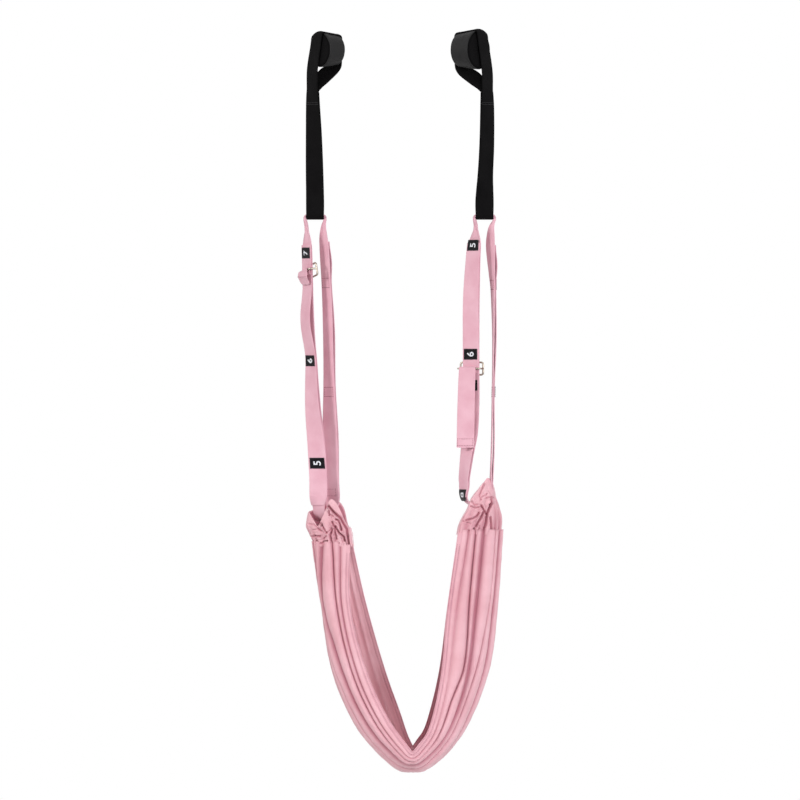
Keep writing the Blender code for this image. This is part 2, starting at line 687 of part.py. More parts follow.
# The sling from the left casing round to the right one.
# Outer edge x and z, inner edge x and z, half depth, how far in the front hem reaches, fold depth
SLING = [
    (-145.8, -820.5, -78.2, -820.5, 27, 0.95, 7.0),
    (-131.6, -925.0, -54.8, -925.0, 40, 0.62, 6.0),
    (-111.6, -1037.0, -23.0, -1037.0, 58, 0.62, 5.0),
    (-69.8, -1130.0, 3.7, -1112.0, 80, 0.70, 4.0),
    (-14.0, -1190.0, 15.5, -1150.0, 95, 0.85, 3.5),
    (19.0, -1201.0, 22.0, -1164.0, 100, 0.90, 3.5),
    (52.0, -1193.0, 30.0, -1151.0, 95, 0.90, 3.5),
    (103.9, -1137.0, 43.8, -1122.0, 76, 0.90, 4.0),
    (144.0, -1038.7, 63.8, -1040.0, 52, 0.95, 5.5),
    (160.6, -925.0, 78.0, -930.0, 36, 1.0, 7.0),
    (169.0, -800.5, 96.4, -800.5, 27, 1.0, 7.5),
]
SLING_ROWS = 24
SLING_COLUMNS = 24


def sling_edges(row):
    keys = [(float(i), *key) for i, key in enumerate(SLING)]
    outer_x, outer_z, inner_x, inner_z, depth, reach, fold = between(keys, row)
    outer = Vector((outer_x, 0, outer_z))
    inner = Vector((inner_x, 0, inner_z))
    span = (inner - outer).length
    inner = outer + (inner - outer) * ((span - HEM_WIDTH - HEM_GAP) / span)
    return outer, inner, depth, reach, fold


def sling_point(row, column):
    outer, inner, depth, reach, fold = sling_edges(row)
    angle = column * math.pi / 2
    part = reach if column < 0 else 1.0
    place = outer + (inner - outer) * (1 - math.cos(angle)) * part
    place += Vector((0, depth * math.sin(angle), 0))
    inward = (inner - outer).normalized()
    facing = (inward * math.cos(angle) / max((inner - outer).length, 1) * depth
              - Vector((0, 1, 0)) * math.sin(angle)).normalized()
    swell = fold * math.sin(math.pi * CLOTH_FOLDS * (column + 1)) * min(1.0, 5.0 * (1 - abs(column)))
    return place - facing * swell


def sling_grid(rows, columns):
    return [[sling_point((len(SLING) - 1) * i / rows, -1 + 2 * j / columns) for j in range(columns + 1)]
            for i in range(rows + 1)]


def grid_normal(grid, i, j):
    low, high = grid[max(i - 1, 0)][j], grid[min(i + 1, len(grid) - 1)][j]
    left, right = grid[i][max(j - 1, 0)], grid[i][min(j + 1, len(grid[0]) - 1)]
    return (high - low).cross(right - left).normalized()


def sling_cloth(name, made_of):
    grid = sling_grid(SLING_ROWS, SLING_COLUMNS)
    shape = bmesh.new()
    sheets = []
    for facing in (-1, 1):
        offset = facing * CLOTH_THICK / 2
        sheets.append([[shape.verts.new((grid[i][j] + grid_normal(grid, i, j) * offset) * MM)
                        for j in range(SLING_COLUMNS + 1)] for i in range(SLING_ROWS + 1)])
    low, high = sheets
    for i in range(SLING_ROWS):
        for j in range(SLING_COLUMNS):
            shape.faces.new((low[i][j], low[i + 1][j], low[i + 1][j + 1], low[i][j + 1]))
            shape.faces.new((high[i][j], high[i][j + 1], high[i + 1][j + 1], high[i + 1][j]))
    for i in range(SLING_ROWS):
        for j in (0, SLING_COLUMNS):
            shape.faces.new((low[i][j], high[i][j], high[i + 1][j], low[i + 1][j]))
    for j in range(SLING_COLUMNS):
        for i in (0, SLING_ROWS):
            shape.faces.new((low[i][j], low[i][j + 1], high[i][j + 1], high[i][j]))
    return add_object(name, shape, made_of)


# Turned hem along one long edge of the sling
def hem(name, edge, made_of):
    stations = []
    for i in range(1, SLING_ROWS):
        row = (len(SLING) - 1) * i / SLING_ROWS
        outer, inner, depth, reach, fold = sling_edges(row)
        out = (inner - outer).normalized()
        centre = sling_point(row, edge) + out * (HEM_WIDTH / 2 + HEM_GAP)
        stations.append((centre, out, HEM_WIDTH, HEM_THICK))
    shape = bmesh.new()
    sweep_webbing(shape, stations)
    return add_object(name, shape, made_of)


def build():
    clear_scene()
    pink_web = material("pink_webbing", PINK, 0.62)
    pink_cloth = material("pink_cloth", PINK, 0.55)
    hem_cloth = material("hem_cloth", DEEP_PINK, 0.6)
    black_web = material("black_webbing", BLACK, 0.6)
    foam = material("black_foam", BLACK, 0.85)
    label = material("label_black", BLACK, 0.5)
    metal = material("slider_metal", METAL, 0.35, 0.9)
    gap = HINGE_GAP / 2
    for word, side in (("left", -1), ("right", 1)):
        neck_disc = hinge_disc(word + "_neck_disc", side * NECK_X, NECK_Z, NECK_RADIUS + gap)
        neck_saddle = hinge_saddle(word + "_neck_saddle", side * NECK_X, NECK_Z, NECK_RADIUS - gap)
        base_x = side * BASE_HINGE_X
        base_disc = hinge_disc(word + "_base_disc", base_x, BASE_HINGE_Z, BASE_HINGE_RADIUS + gap)
        base_saddle = hinge_saddle(word + "_base_saddle", base_x, BASE_HINGE_Z, BASE_HINGE_RADIUS - gap)
        foam_roll(word + "_foam_roll", side, foam)
        roll_cover(word + "_roll_cover", side, black_web)
        boolean(anchor_wrap(word + "_anchor_wrap", side, black_web), neck_disc, "DIFFERENCE")
        boolean(anchor_loop(word + "_anchor_loop", side, black_web), neck_saddle, "DIFFERENCE")
        boolean(strap_webbing(word + "_webbing", side, pink_web), base_disc, "DIFFERENCE")
        for leg_word in ("front", "back"):
            which = word + "_" + leg_word
            boolean(loop_ply(which + "_loop_ply", which, pink_web), base_disc, "DIFFERENCE")
            for number, middle in enumerate(LABELS[which]):
                number_label(which + "_label_" + str(number + 1), which, middle, label)
        slider(word + "_slider", word + "_front", metal)
        tail(word + "_tail", word + "_front", pink_web)
        boolean(webbing_base(word + "_webbing_base", side, pink_web), base_saddle, "DIFFERENCE")
        casing(word + "_casing", side, pink_cloth)
    base_label("right_base_label", label)
    sling_cloth("sling_cloth", pink_cloth)
    hem("front_hem", -1, hem_cloth)
    hem("back_hem", 1, hem_cloth)


build()
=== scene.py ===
# Dresses the aerial yoga rope: woven webbing, foam rolls, number labels, sliders, ruched casings and pleated sling.
# Lengths in the tables are millimetres in the frame of the model; meshes are made in metres.
import bpy
import bmesh
import math
import numpy as np
from mathutils import Matrix, Vector, noise


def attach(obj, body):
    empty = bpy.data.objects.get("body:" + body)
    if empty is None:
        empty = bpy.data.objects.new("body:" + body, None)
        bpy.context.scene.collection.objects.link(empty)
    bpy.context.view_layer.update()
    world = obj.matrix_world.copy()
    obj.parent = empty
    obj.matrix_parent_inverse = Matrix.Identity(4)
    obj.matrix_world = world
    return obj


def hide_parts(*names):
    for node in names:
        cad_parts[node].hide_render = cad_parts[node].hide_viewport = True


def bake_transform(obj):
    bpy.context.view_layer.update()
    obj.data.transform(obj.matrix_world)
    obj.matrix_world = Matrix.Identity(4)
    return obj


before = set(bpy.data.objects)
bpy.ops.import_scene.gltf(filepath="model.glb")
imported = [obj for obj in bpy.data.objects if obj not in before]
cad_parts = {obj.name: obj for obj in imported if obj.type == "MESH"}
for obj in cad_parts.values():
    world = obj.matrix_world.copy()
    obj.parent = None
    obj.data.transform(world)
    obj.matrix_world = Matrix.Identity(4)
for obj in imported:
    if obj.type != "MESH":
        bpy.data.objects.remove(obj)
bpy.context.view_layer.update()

mm = 0.001
scene = bpy.context.scene
bothSides = (("left", -1), ("right", 1))


# Camera, lights and room

cameraSettings = {
    "mmPerPixel": 1.67, "centrePixelX": 399.8, "topPixelY": 50.0, "imageSize": 800,
    "distance": 20.0, "sensor": 36.0, "clipEnd": 80.0,
}

lightSettings = {
    "lamps": {
        "key": {"place": (-4.2, -2.4, 1.1), "size": 1.2, "power": 112.0, "colour": "#FFFDFB"},
        "front": {"place": (0.9, -5.0, 0.9), "size": 2.4, "power": 104.0, "colour": "#FFFFFF"},
        "right": {"place": (3.6, -2.4, -0.4), "size": 2.4, "power": 66.0, "colour": "#FBFCFF"},
        "back": {"place": (0.6, 4.2, 0.4), "size": 3.0, "power": 75.0, "colour": "#FFFFFF"},
    },
    "aim": (0, 0, -0.62), "roomGrey": 0.80, "roomStrength": 0.40,
}

floorSettings = {"radius": 1.6, "segments": 96, "height": -1.75, "colour": "#F2F2F2"}


# sRGB hex to a linear colour with alpha
def hexColour(text):
    channels = [int(text[i:i + 2], 16) / 255 for i in (1, 3, 5)]
    linear = [c / 12.92 if c <= 0.04045 else ((c + 0.055) / 1.055) ** 2.4 for c in channels]
    return (*linear, 1.0)


def pixelToMm(px, py):
    scale = cameraSettings["mmPerPixel"]
    return (px - cameraSettings["centrePixelX"]) * scale, (cameraSettings["topPixelY"] - py) * scale


def newObject(name, data):
    made = bpy.data.objects.new(name, data)
    scene.collection.objects.link(made)
    return made


def makeCamera():
    s = cameraSettings
    centreX, centreZ = pixelToMm(s["imageSize"] / 2, s["imageSize"] / 2)
    data = bpy.data.cameras.new("camera")
    data.sensor_width = s["sensor"]
    data.lens = s["sensor"] * s["distance"] / (s["imageSize"] * s["mmPerPixel"] * mm)
    data.clip_end = s["clipEnd"]
    camera = newObject("camera", data)
    camera.location = (centreX * mm, -s["distance"], centreZ * mm)
    camera.rotation_euler = (math.radians(90), 0, 0)
    scene.camera = camera


def makeLight(name, settings):
    data = bpy.data.lights.new(name, "AREA")
    data.shape = "DISK"
    data.size = settings["size"]
    data.energy = settings["power"]
    data.color = hexColour(settings["colour"])[:3]
    lamp = newObject(name, data)
    lamp.location = settings["place"]
    aim = Vector(lightSettings["aim"]) - lamp.location
    lamp.rotation_euler = aim.to_track_quat("-Z", "Y").to_euler()


# Adds a node with its settings. Sockets go by name, or by i and their number: a node or one of its outputs is
# linked, anything else is the socket's value
def addNode(tree, kind, settings=None, **sockets):
    node = tree.nodes.new(kind)
    for key, value in (settings or {}).items():
        setattr(node, key, value)
    for key, value in sockets.items():
        name = key.replace("_", " ")
        socket = node.inputs[int(name[1:])] if name[0] == "i" and name[1:].isdigit() else node.inputs[name]
        if isinstance(value, bpy.types.Node):
            value = value.outputs[0]
        if isinstance(value, bpy.types.NodeSocket):
            tree.links.new(value, socket)
        else:
            socket.default_value = value
    return node


# White on the rays that show a background, from the camera or by way of metal or glass, and plain on all others
def showWhite(tree, plain, white, output):
    path = addNode(tree, "ShaderNodeLightPath")
    seen = addNode(tree, "ShaderNodeMath", {"operation": "MAXIMUM"},
                   i0=path.outputs["Is Camera Ray"], i1=path.outputs["Is Glossy Ray"])
    seen = addNode(tree, "ShaderNodeMath", {"operation": "MAXIMUM"}, i0=seen, i1=path.outputs["Is Transmission Ray"])
    mix = addNode(tree, "ShaderNodeMixShader", i0=seen, i1=plain, i2=white)
    addNode(tree, output, Surface=mix)


def makeWorld():
    world = bpy.data.worlds.new("room")
    scene.world = world
    world.use_nodes = True
    tree = world.node_tree
    tree.nodes.clear()
    grey = lightSettings["roomGrey"]
    room = addNode(tree, "ShaderNodeBackground", Color=(grey, grey, grey, 1), Strength=lightSettings["roomStrength"])
    white = addNode(tree, "ShaderNodeBackground", Color=(1, 1, 1, 1), Strength=1.0)
    showWhite(tree, room, white, "ShaderNodeOutputWorld")


def makeFloor():
    s = floorSettings
    mesh = bpy.data.meshes.new("floor")
    shape = bmesh.new()
    bmesh.ops.create_circle(shape, cap_ends=True, segments=s["segments"], radius=s["radius"])
    shape.to_mesh(mesh)
    shape.free()
    floor = newObject("floor", mesh)
    floor.location = (0, 0, s["height"])
    made = bpy.data.materials.new("paleFloor")
    made.use_nodes = True
    tree = made.node_tree
    tree.nodes.clear()
    plain = addNode(tree, "ShaderNodeBsdfDiffuse", Color=hexColour(s["colour"]))
    white = addNode(tree, "ShaderNodeEmission", Color=(1, 1, 1, 1), Strength=1.0)
    showWhite(tree, plain, white, "ShaderNodeOutputMaterial")
    mesh.materials.append(made)


makeCamera()
for lampName, lamp in lightSettings["lamps"].items():
    makeLight(lampName, lamp)
makeWorld()
makeFloor()
scene.view_settings.view_transform = "Standard"
scene.view_settings.look = "None"
print("room, lights and camera made")


# Materials. A pattern gives what drives the colour and the relief; the settings say the rest.
# panel, pitch, yarn, rib and row are in mm: the width of a herringbone panel and the spacing of its ribs and yarns,
# and the spacing of the knit's ribs and rows. Real yarns and rows are about half as wide and wouldn't show.
# Noise scales, such as grain, are cells per metre; relief is the height of the bump in mm

patternSettings = {
    "webbing": {"yarnShare": 0.45, "tone": 0.10, "patches": 34.0, "fuzz": 900.0, "fuzzHeight": 0.5},
    "cloth": {"rowShare": 0.5, "tone": 0.05, "patches": 18.0, "drift": 55.0, "driftBy": 1.6, "creases": 120.0},
}


# Herringbone webbing, on the band's own UV in metres: across the width and along the length
def webbingPattern(tree, place, settings):
    s = patternSettings["webbing"]
    parts = addNode(tree, "ShaderNodeSeparateXYZ", Vector=addNode(tree, "ShaderNodeUVMap", {"uv_map": "weave"}))
    zigzag = addNode(tree, "ShaderNodeMath", {"operation": "PINGPONG"}, i0=parts, i1=settings["panel"] * mm)
    slope = addNode(tree, "ShaderNodeMath", {"operation": "ADD"}, i0=parts.outputs["Y"], i1=zigzag)
    turns = addNode(tree, "ShaderNodeMath", {"operation": "MULTIPLY"}, i0=slope,
                    i1=2 * math.pi / (settings["pitch"] * mm))
    rib = addNode(tree, "ShaderNodeMath", {"operation": "SINE"}, i0=turns)
    acrossTurns = addNode(tree, "ShaderNodeMath", {"operation": "MULTIPLY"}, i0=parts,
                          i1=2 * math.pi / (settings["yarn"] * mm))
    yarn = addNode(tree, "ShaderNodeMath", {"operation": "SINE"}, i0=acrossTurns)
    weave = addNode(tree, "ShaderNodeMath", {"operation": "MULTIPLY_ADD"}, i0=yarn, i1=s["yarnShare"], i2=rib)
    patches = addNode(tree, "ShaderNodeTexNoise", Vector=place, Scale=s["patches"], Detail=3.0, Roughness=0.55)
    fuzz = addNode(tree, "ShaderNodeTexNoise", Vector=place, Scale=s["fuzz"], Detail=1.0)
    shade = addNode(tree, "ShaderNodeMath", {"operation": "MULTIPLY_ADD"}, i0=weave, i1=s["tone"], i2=patches)
    height = addNode(tree, "ShaderNodeMath", {"operation": "MULTIPLY_ADD"}, i0=fuzz, i1=s["fuzzHeight"], i2=weave)
    return {"shade": shade, "stops": (0.18, 0.78), "height": height, "relief": 0.12, "rough": fuzz, "spread": 0.06,
            "sheenRoughness": 0.45, "specular": 0.2}


# Fine knitted cloth with lengthwise ribs, on the sheet's own UV in metres
def clothPattern(tree, place, settings):
    s = patternSettings["cloth"]
    parts = addNode(tree, "ShaderNodeSeparateXYZ", Vector=addNode(tree, "ShaderNodeUVMap", {"uv_map": "weave"}))
    drift = addNode(tree, "ShaderNodeTexNoise", Vector=place, Scale=s["drift"], Detail=2.0)
    bent = addNode(tree, "ShaderNodeMath", {"operation": "MULTIPLY_ADD"}, i0=drift, i1=s["driftBy"] * mm, i2=parts)
    ribTurns = addNode(tree, "ShaderNodeMath", {"operation": "MULTIPLY"}, i0=bent,
                       i1=2 * math.pi / (settings["rib"] * mm))
    rib = addNode(tree, "ShaderNodeMath", {"operation": "SINE"}, i0=ribTurns)
    rowTurns = addNode(tree, "ShaderNodeMath", {"operation": "MULTIPLY"}, i0=parts.outputs["Y"],
                       i1=2 * math.pi / (settings["row"] * mm))
    row = addNode(tree, "ShaderNodeMath", {"operation": "SINE"}, i0=rowTurns)
    knit = addNode(tree, "ShaderNodeMath", {"operation": "MULTIPLY_ADD"}, i0=row, i1=s["rowShare"], i2=rib)
    patches = addNode(tree, "ShaderNodeTexNoise", Vector=place, Scale=s["patches"], Detail=4.0, Roughness=0.6)
    shade = addNode(tree, "ShaderNodeMath", {"operation": "MULTIPLY_ADD"}, i0=knit, i1=s["tone"], i2=patches)
    creases = addNode(tree, "ShaderNodeTexNoise", Vector=place, Scale=s["creases"], Detail=4.0, Distortion=0.6)
    height = addNode(tree, "ShaderNodeMath", {"operation": "MULTIPLY_ADD"}, i0=creases, i1=settings["crease"], i2=knit)
    return {"shade": shade, "stops": (0.25, 0.72), "height": height, "relief": 0.15, "sheenRoughness": 0.35,
            "specular": 0.24}


# Plain surface with fine grain on object coordinates: foam, thread or metal
def grainPattern(tree, place, settings):
    grain = addNode(tree, "ShaderNodeTexNoise", Vector=place, Scale=settings["grain"], Detail=4.0)
    return {"shade": grain, "stops": (0.3, 0.7), "height": grain, "relief": 0.1, "rough": grain, "spread": 0.08,
            "specular": 0.5}


def makeMaterial(name, pattern, settings):
    made = bpy.data.materials.new(name)
    made.use_nodes = True
    tree = made.node_tree
    shader = tree.nodes["Principled BSDF"]
    place = addNode(tree, "ShaderNodeTexCoord").outputs["Object"]
    s = {"sheen": 0.0, "sheenRoughness": 0.5, "metallic": 0.0, **pattern(tree, place, settings), **settings}
    colour = addNode(tree, "ShaderNodeValToRGB", Fac=s["shade"])
    for stop, at, tone in zip(colour.color_ramp.elements, s["stops"], (s["deep"], s["colour"])):
        stop.position, stop.color = at, hexColour(tone)
    # Painted shade: the colour is darkened towards the given shade colour by the mesh's attribute of shade in its folds
    if "fold" in s:  # darker where the mesh says that it lies in a fold
        depth = addNode(tree, "ShaderNodeAttribute", {"attribute_name": "fold"})
        colour = addNode(tree, "ShaderNodeMix", {"data_type": "RGBA"}, i0=depth.outputs["Fac"], i6=colour,
                         i7=hexColour(s["fold"])).outputs[2]
    else:
        colour = colour.outputs[0]
    bump = addNode(tree, "ShaderNodeBump", Strength=s["bump"], Distance=s["relief"] * mm, Height=s["height"])
    tree.links.new(colour, shader.inputs["Base Color"])
    tree.links.new(bump.outputs["Normal"], shader.inputs["Normal"])
    if "rough" in s:
        rough = addNode(tree, "ShaderNodeMapRange", Value=s["rough"], To_Min=s["roughness"] - s["spread"],
                        To_Max=s["roughness"] + s["spread"])
        tree.links.new(rough.outputs["Result"], shader.inputs["Roughness"])
    else:
        shader.inputs["Roughness"].default_value = s["roughness"]
    for socket, key in (("Metallic", "metallic"), ("Specular IOR Level", "specular"), ("Sheen Weight", "sheen"),
                        ("Sheen Roughness", "sheenRoughness")):
        shader.inputs[socket].default_value = s[key]
    return made


# Polyester webbing of the straps: a dull herringbone with a little fuzz
pinkWebbing = makeMaterial("pinkWebbing", webbingPattern, {
    "colour": "#EDBFCC", "deep": "#DFA6B6", "panel": 3.75, "pitch": 1.5, "yarn": 0.6, "roughness": 0.72,
    "bump": 0.25, "sheen": 0.25})
# Polyester webbing of the door anchors, nearly without gloss
blackWebbing = makeMaterial("blackWebbing", webbingPattern, {
    "colour": "#100F10", "deep": "#060506", "panel": 3.75, "pitch": 1.5, "yarn": 0.6, "roughness": 0.8,
    "bump": 0.3, "sheen": 0.02, "specular": 0.06})
# Nylon knit of the sling and its casings: fine ribs, soft sheen, and painted shade that turns the colour a deeper pink
# in the folds
pinkCloth = makeMaterial("pinkCloth", clothPattern, {
    "colour": "#F0C0C9", "deep": "#E2A8B2", "fold": "#A8566B", "rib": 0.9, "row": 0.7, "roughness": 0.55,
    "bump": 0.22, "crease": 0.9, "sheen": 0.3})
# The same knit turned and sewn along the edges, where it looks a shade deeper, with the same colour for painted shade
# in folds
hemCloth = makeMaterial("hemCloth", clothPattern, {
    "colour": "#EBB8C2", "deep": "#D89AA7", "fold": "#A8566B", "rib": 0.9, "row": 0.7, "roughness": 0.55,
    "bump": 0.25, "crease": 0.8, "sheen": 0.3})
# Woven nylon sleeve round the foam rolls: soft black with a faint sheen, and a near-black colour for painted shade in
# folds
coverCloth = makeMaterial("coverCloth", clothPattern, {
    "colour": "#131213", "deep": "#0B0A0B", "fold": "#080708", "rib": 0.8, "row": 0.8, "roughness": 0.62,
    "bump": 0.25, "crease": 1.2, "sheen": 0.06})
# Closed-cell foam of the rolls: dull, with open pores at the cut ends
blackFoam = makeMaterial("blackFoam", grainPattern, {
    "colour": "#080708", "deep": "#040304", "grain": 700.0, "roughness": 0.82, "bump": 0.5, "specular": 0.07})
# Satin tape of the number labels, with no herringbone
labelTape = makeMaterial("labelTape", webbingPattern, {
    "colour": "#0C0B10", "deep": "#050407", "panel": 60.0, "pitch": 0.7, "yarn": 0.5, "roughness": 0.5,
    "bump": 0.2, "sheen": 0.03, "specular": 0.1})
# White polyester yarn woven in as figures, matt against the satin
figureThread = makeMaterial("figureThread", grainPattern, {
    "colour": "#F4F5F8", "deep": "#D5D9E2", "grain": 1500.0, "roughness": 0.6, "bump": 0.3})
# Twisted polyester thread, deeper than the webbing, so that the seams read as fine lines
pinkThread = makeMaterial("pinkThread", grainPattern, {
    "colour": "#A05568", "deep": "#783A4B", "grain": 1800.0, "roughness": 0.6, "bump": 0.3})
# The same thread in black, duller than the tape it holds
blackThread = makeMaterial("blackThread", grainPattern, {
    "colour": "#333135", "deep": "#1D1C1F", "grain": 1800.0, "roughness": 0.6, "bump": 0.3})
# Plated steel of the sliders: smooth, warm and softly reflecting
sliderSteel = makeMaterial("sliderSteel", grainPattern, {
    "colour": "#B9B0A2", "deep": "#938A7E", "grain": 260.0, "roughness": 0.32, "bump": 0.05, "metallic": 1.0})
print("materials made")


# Shared shaping

# Smooth values between keys, each key being a tuple whose first entry is the parameter
def between(keys, at):
    rising = keys[-1][0] > keys[0][0]
    spots = [key[0] if rising else -key[0] for key in keys]
    at = at if rising else -at
    i = 0
    while i < len(keys) - 2 and at > spots[i + 1]:
        i += 1

    def slope(j, k):
        low, high = max(j - 1, 0), min(j + 1, len(keys) - 1)
        return (keys[high][k] - keys[low][k]) / (spots[high] - spots[low])

    step = spots[i + 1] - spots[i]
    u = min(max((at - spots[i]) / step, 0.0), 1.0)
    return [(2 * u ** 3 - 3 * u ** 2 + 1) * keys[i][k] + (u ** 3 - 2 * u ** 2 + u) * step * slope(i, k)
            + (3 * u ** 2 - 2 * u ** 3) * keys[i + 1][k] + (u ** 3 - u ** 2) * step * slope(i + 1, k)
            for k in range(1, len(keys[0]))]


def across(turn):
    return Vector((math.cos(math.radians(turn)), math.sin(math.radians(turn)), 0.0))


# The object's mesh with its modifiers worked in
def evaluatedMesh(piece):
    bpy.context.view_layer.update()
    return bpy.data.meshes.new_from_object(piece.evaluated_get(bpy.context.evaluated_depsgraph_get()))


# Object from points in mm, with a UV layer in metres where one is given per corner of each face
def meshObject(name, points, faces, madeOf, cornerUvs=None, sharp=50.0):
    mesh = bpy.data.meshes.new(name)
    mesh.from_pydata([tuple(c * mm for c in p) for p in points], [], faces)
    if cornerUvs is not None:
        layer = mesh.uv_layers.new(name="weave")
        flat = np.array([c * mm for face in cornerUvs for corner in face for c in corner], np.float32)
        layer.data.foreach_set("uv", flat)
    shape = bmesh.new()
    shape.from_mesh(mesh)
    bmesh.ops.recalc_face_normals(shape, faces=shape.faces)
    shape.to_mesh(mesh)
    shape.free()
    mesh.materials.append(madeOf)
    mesh.shade_smooth()
    mesh.set_sharp_from_angle(angle=math.radians(sharp))
    return newObject(name, mesh)


# Quads of a grid of points and their UVs; uvAt is given rows and columns that run on past a join
def skin(rows, columns, uvAt, joinRows=False, joinColumns=True):
    faces, uvs = [], []
    for r in range(rows if joinRows else rows - 1):
        for c in range(columns if joinColumns else columns - 1):
            corners = ((r, c), (r, c + 1), (r + 1, c + 1), (r + 1, c))
            faces.append(tuple(a % rows * columns + b % columns for a, b in corners))
            uvs.append(tuple(uvAt(a, b) for a, b in corners))
    return faces, uvs


# Hides the solids that a piece stands for and, if a body is given, hangs the piece on that body. slot, the finish it
# has, is not used
def dress(piece, slot, body, *nodes):
    if nodes:
        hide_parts(*nodes)
    if body:
        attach(piece, body)
    return piece


bandSettings = {"gathers": 3, "gatherHeight": 2.1, "rimSteps": 3, "near": 0.01}


# Section of a flat band: place across, height off its middle, and the place across the flat weave.
# crush from 0 to 1 gathers the band into lengthwise folds
def bandSection(width, thick, flatWidth, crush=0.0, columns=14):
    wave, rim, near = crush * bandSettings["gatherHeight"], bandSettings["rimSteps"], bandSettings["near"]
    points = []

    def middle(s):
        return Vector((width * s, wave * math.sin(bandSettings["gathers"] * math.pi * s)))

    def frameAt(s):
        run = (middle(s + near) - middle(s - near)).normalized()
        return middle(s), Vector((-run.y, run.x)), run

    inset = thick / 2 / width
    for facing in (1, -1):
        for i in range(columns + 1):
            s = facing * (-0.5 + inset + (1 - 2 * inset) * i / columns)
            place, up, run = frameAt(s)
            points.append((*(place + up * (facing * thick / 2)), s * flatWidth))
        s = facing * (0.5 - inset)
        place, up, run = frameAt(s)
        for k in range(1, rim):
            angle = math.pi * k / rim
            spoke = up * math.cos(angle) + run * math.sin(angle)
            points.append((*(place + spoke * (facing * thick / 2)), s * flatWidth))
    return points


# Skins rings of (point, place across the weave); the weave runs along the spots that the rings stand on
def bandMesh(name, rings, spots, madeOf, closed):
    runs = [0.0]
    for i, spot in enumerate(spots):
        runs.append(runs[-1] + (spots[(i + 1) % len(spots)] - spot).length)
    count, size = len(rings), len(rings[0])
    faces, uvs = skin(count, size, lambda r, c: (rings[r % count][c % size][1], runs[r]), closed)
    if not closed:
        for r in (0, count - 1):
            for i in range(size // 2 - 1):
                quad = (i, i + 1, size - 2 - i, size - 1 - i)
                faces.append(tuple(r * size + k for k in quad))
                uvs.append(tuple((rings[r][k][1], runs[r]) for k in quad))
    return meshObject(name, [p for ring in rings for p, flat in ring], faces, madeOf, uvs)


# Band along stations: centre, direction of the width, direction off the face, width, thickness and crush
def sweepBand(name, stations, madeOf, flatWidth, columns=14, closed=False):
    rings = []
    for centre, wide, off, width, thick, crush in stations:
        section = bandSection(width, thick, flatWidth, crush, columns)
        rings.append([(centre + wide * u + off * v, flat) for u, v, flat in section])
    return bandMesh(name, rings, [station[0] for station in stations], madeOf, closed)


# Black webbing of the door anchors: one closed band round each roll, down to the fold that holds the pink strap

anchorSettings = {
    "width": 30.0, "thick": 2.0, "gap": 0.3, "neckAlong": 20.6, "neckSide": 15.5,
    "rollX": {-1: 119.5, 1: 116.15}, "rollTurn": 37.0, "rollLength": 37.0, "nearRadius": 27.4, "farRadius": 22.6,
    "bearing": 16, "underside": -32, "coverThick": 1.6, "size": {-1: 1.0, 1: 1.13},
    "linkZ": -275.0, "linkRadius": 7.45, "halfSpan": 141.5, "opening": 40.0,
    "neckX": 145.3, "neckZ": -83.5, "neckTop": 17.5, "neckUnder": 2, "neckBlend": 14.5,
    "loopSteps": 72, "wrapSteps": 5, "foldSteps": 16, "loopShort": 4,
}

# Height, turn and x of each loop
anchorTurns = {
    -1: [(-60.0, -53.0, 145.3), (-88.0, -46.0, 145.1), (-140.0, -33.0, 143.6),
         (-200.0, -18.0, 142.4), (-250.0, -5.0, 141.5), (-275.0, 0.0, 141.5)],
    1: [(-60.0, 53.0, 145.3), (-100.0, 45.0, 146.0), (-160.0, 40.0, 145.2),
        (-215.0, 34.0, 142.6), (-250.0, 10.0, 141.5), (-275.0, 0.0, 141.5)],
}


def rollFrame(side):
    turn = math.radians(anchorSettings["rollTurn"])
    lengthWay = Vector((-side * math.cos(turn), math.sin(turn), 0))
    sideWay = Vector((side * math.sin(turn), math.cos(turn), 0))
    return Vector((side * anchorSettings["rollX"][side], 0, 0)), lengthWay, sideWay, Vector((0, 0, 1))


def rollRadius(along):
    share = along / anchorSettings["rollLength"] + 0.5
    return anchorSettings["nearRadius"] + (anchorSettings["farRadius"] - anchorSettings["nearRadius"]) * share


# Middle of the loop at a height, the way of its width and the way off the ply that faces the front or the back
def loopFrame(side, height, facing):
    turn, x = between(anchorTurns[side], height)
    wide = across(turn) * side
    return Vector((side * x, 0, height)), wide, Vector((-wide.y, wide.x, 0)) * side * facing


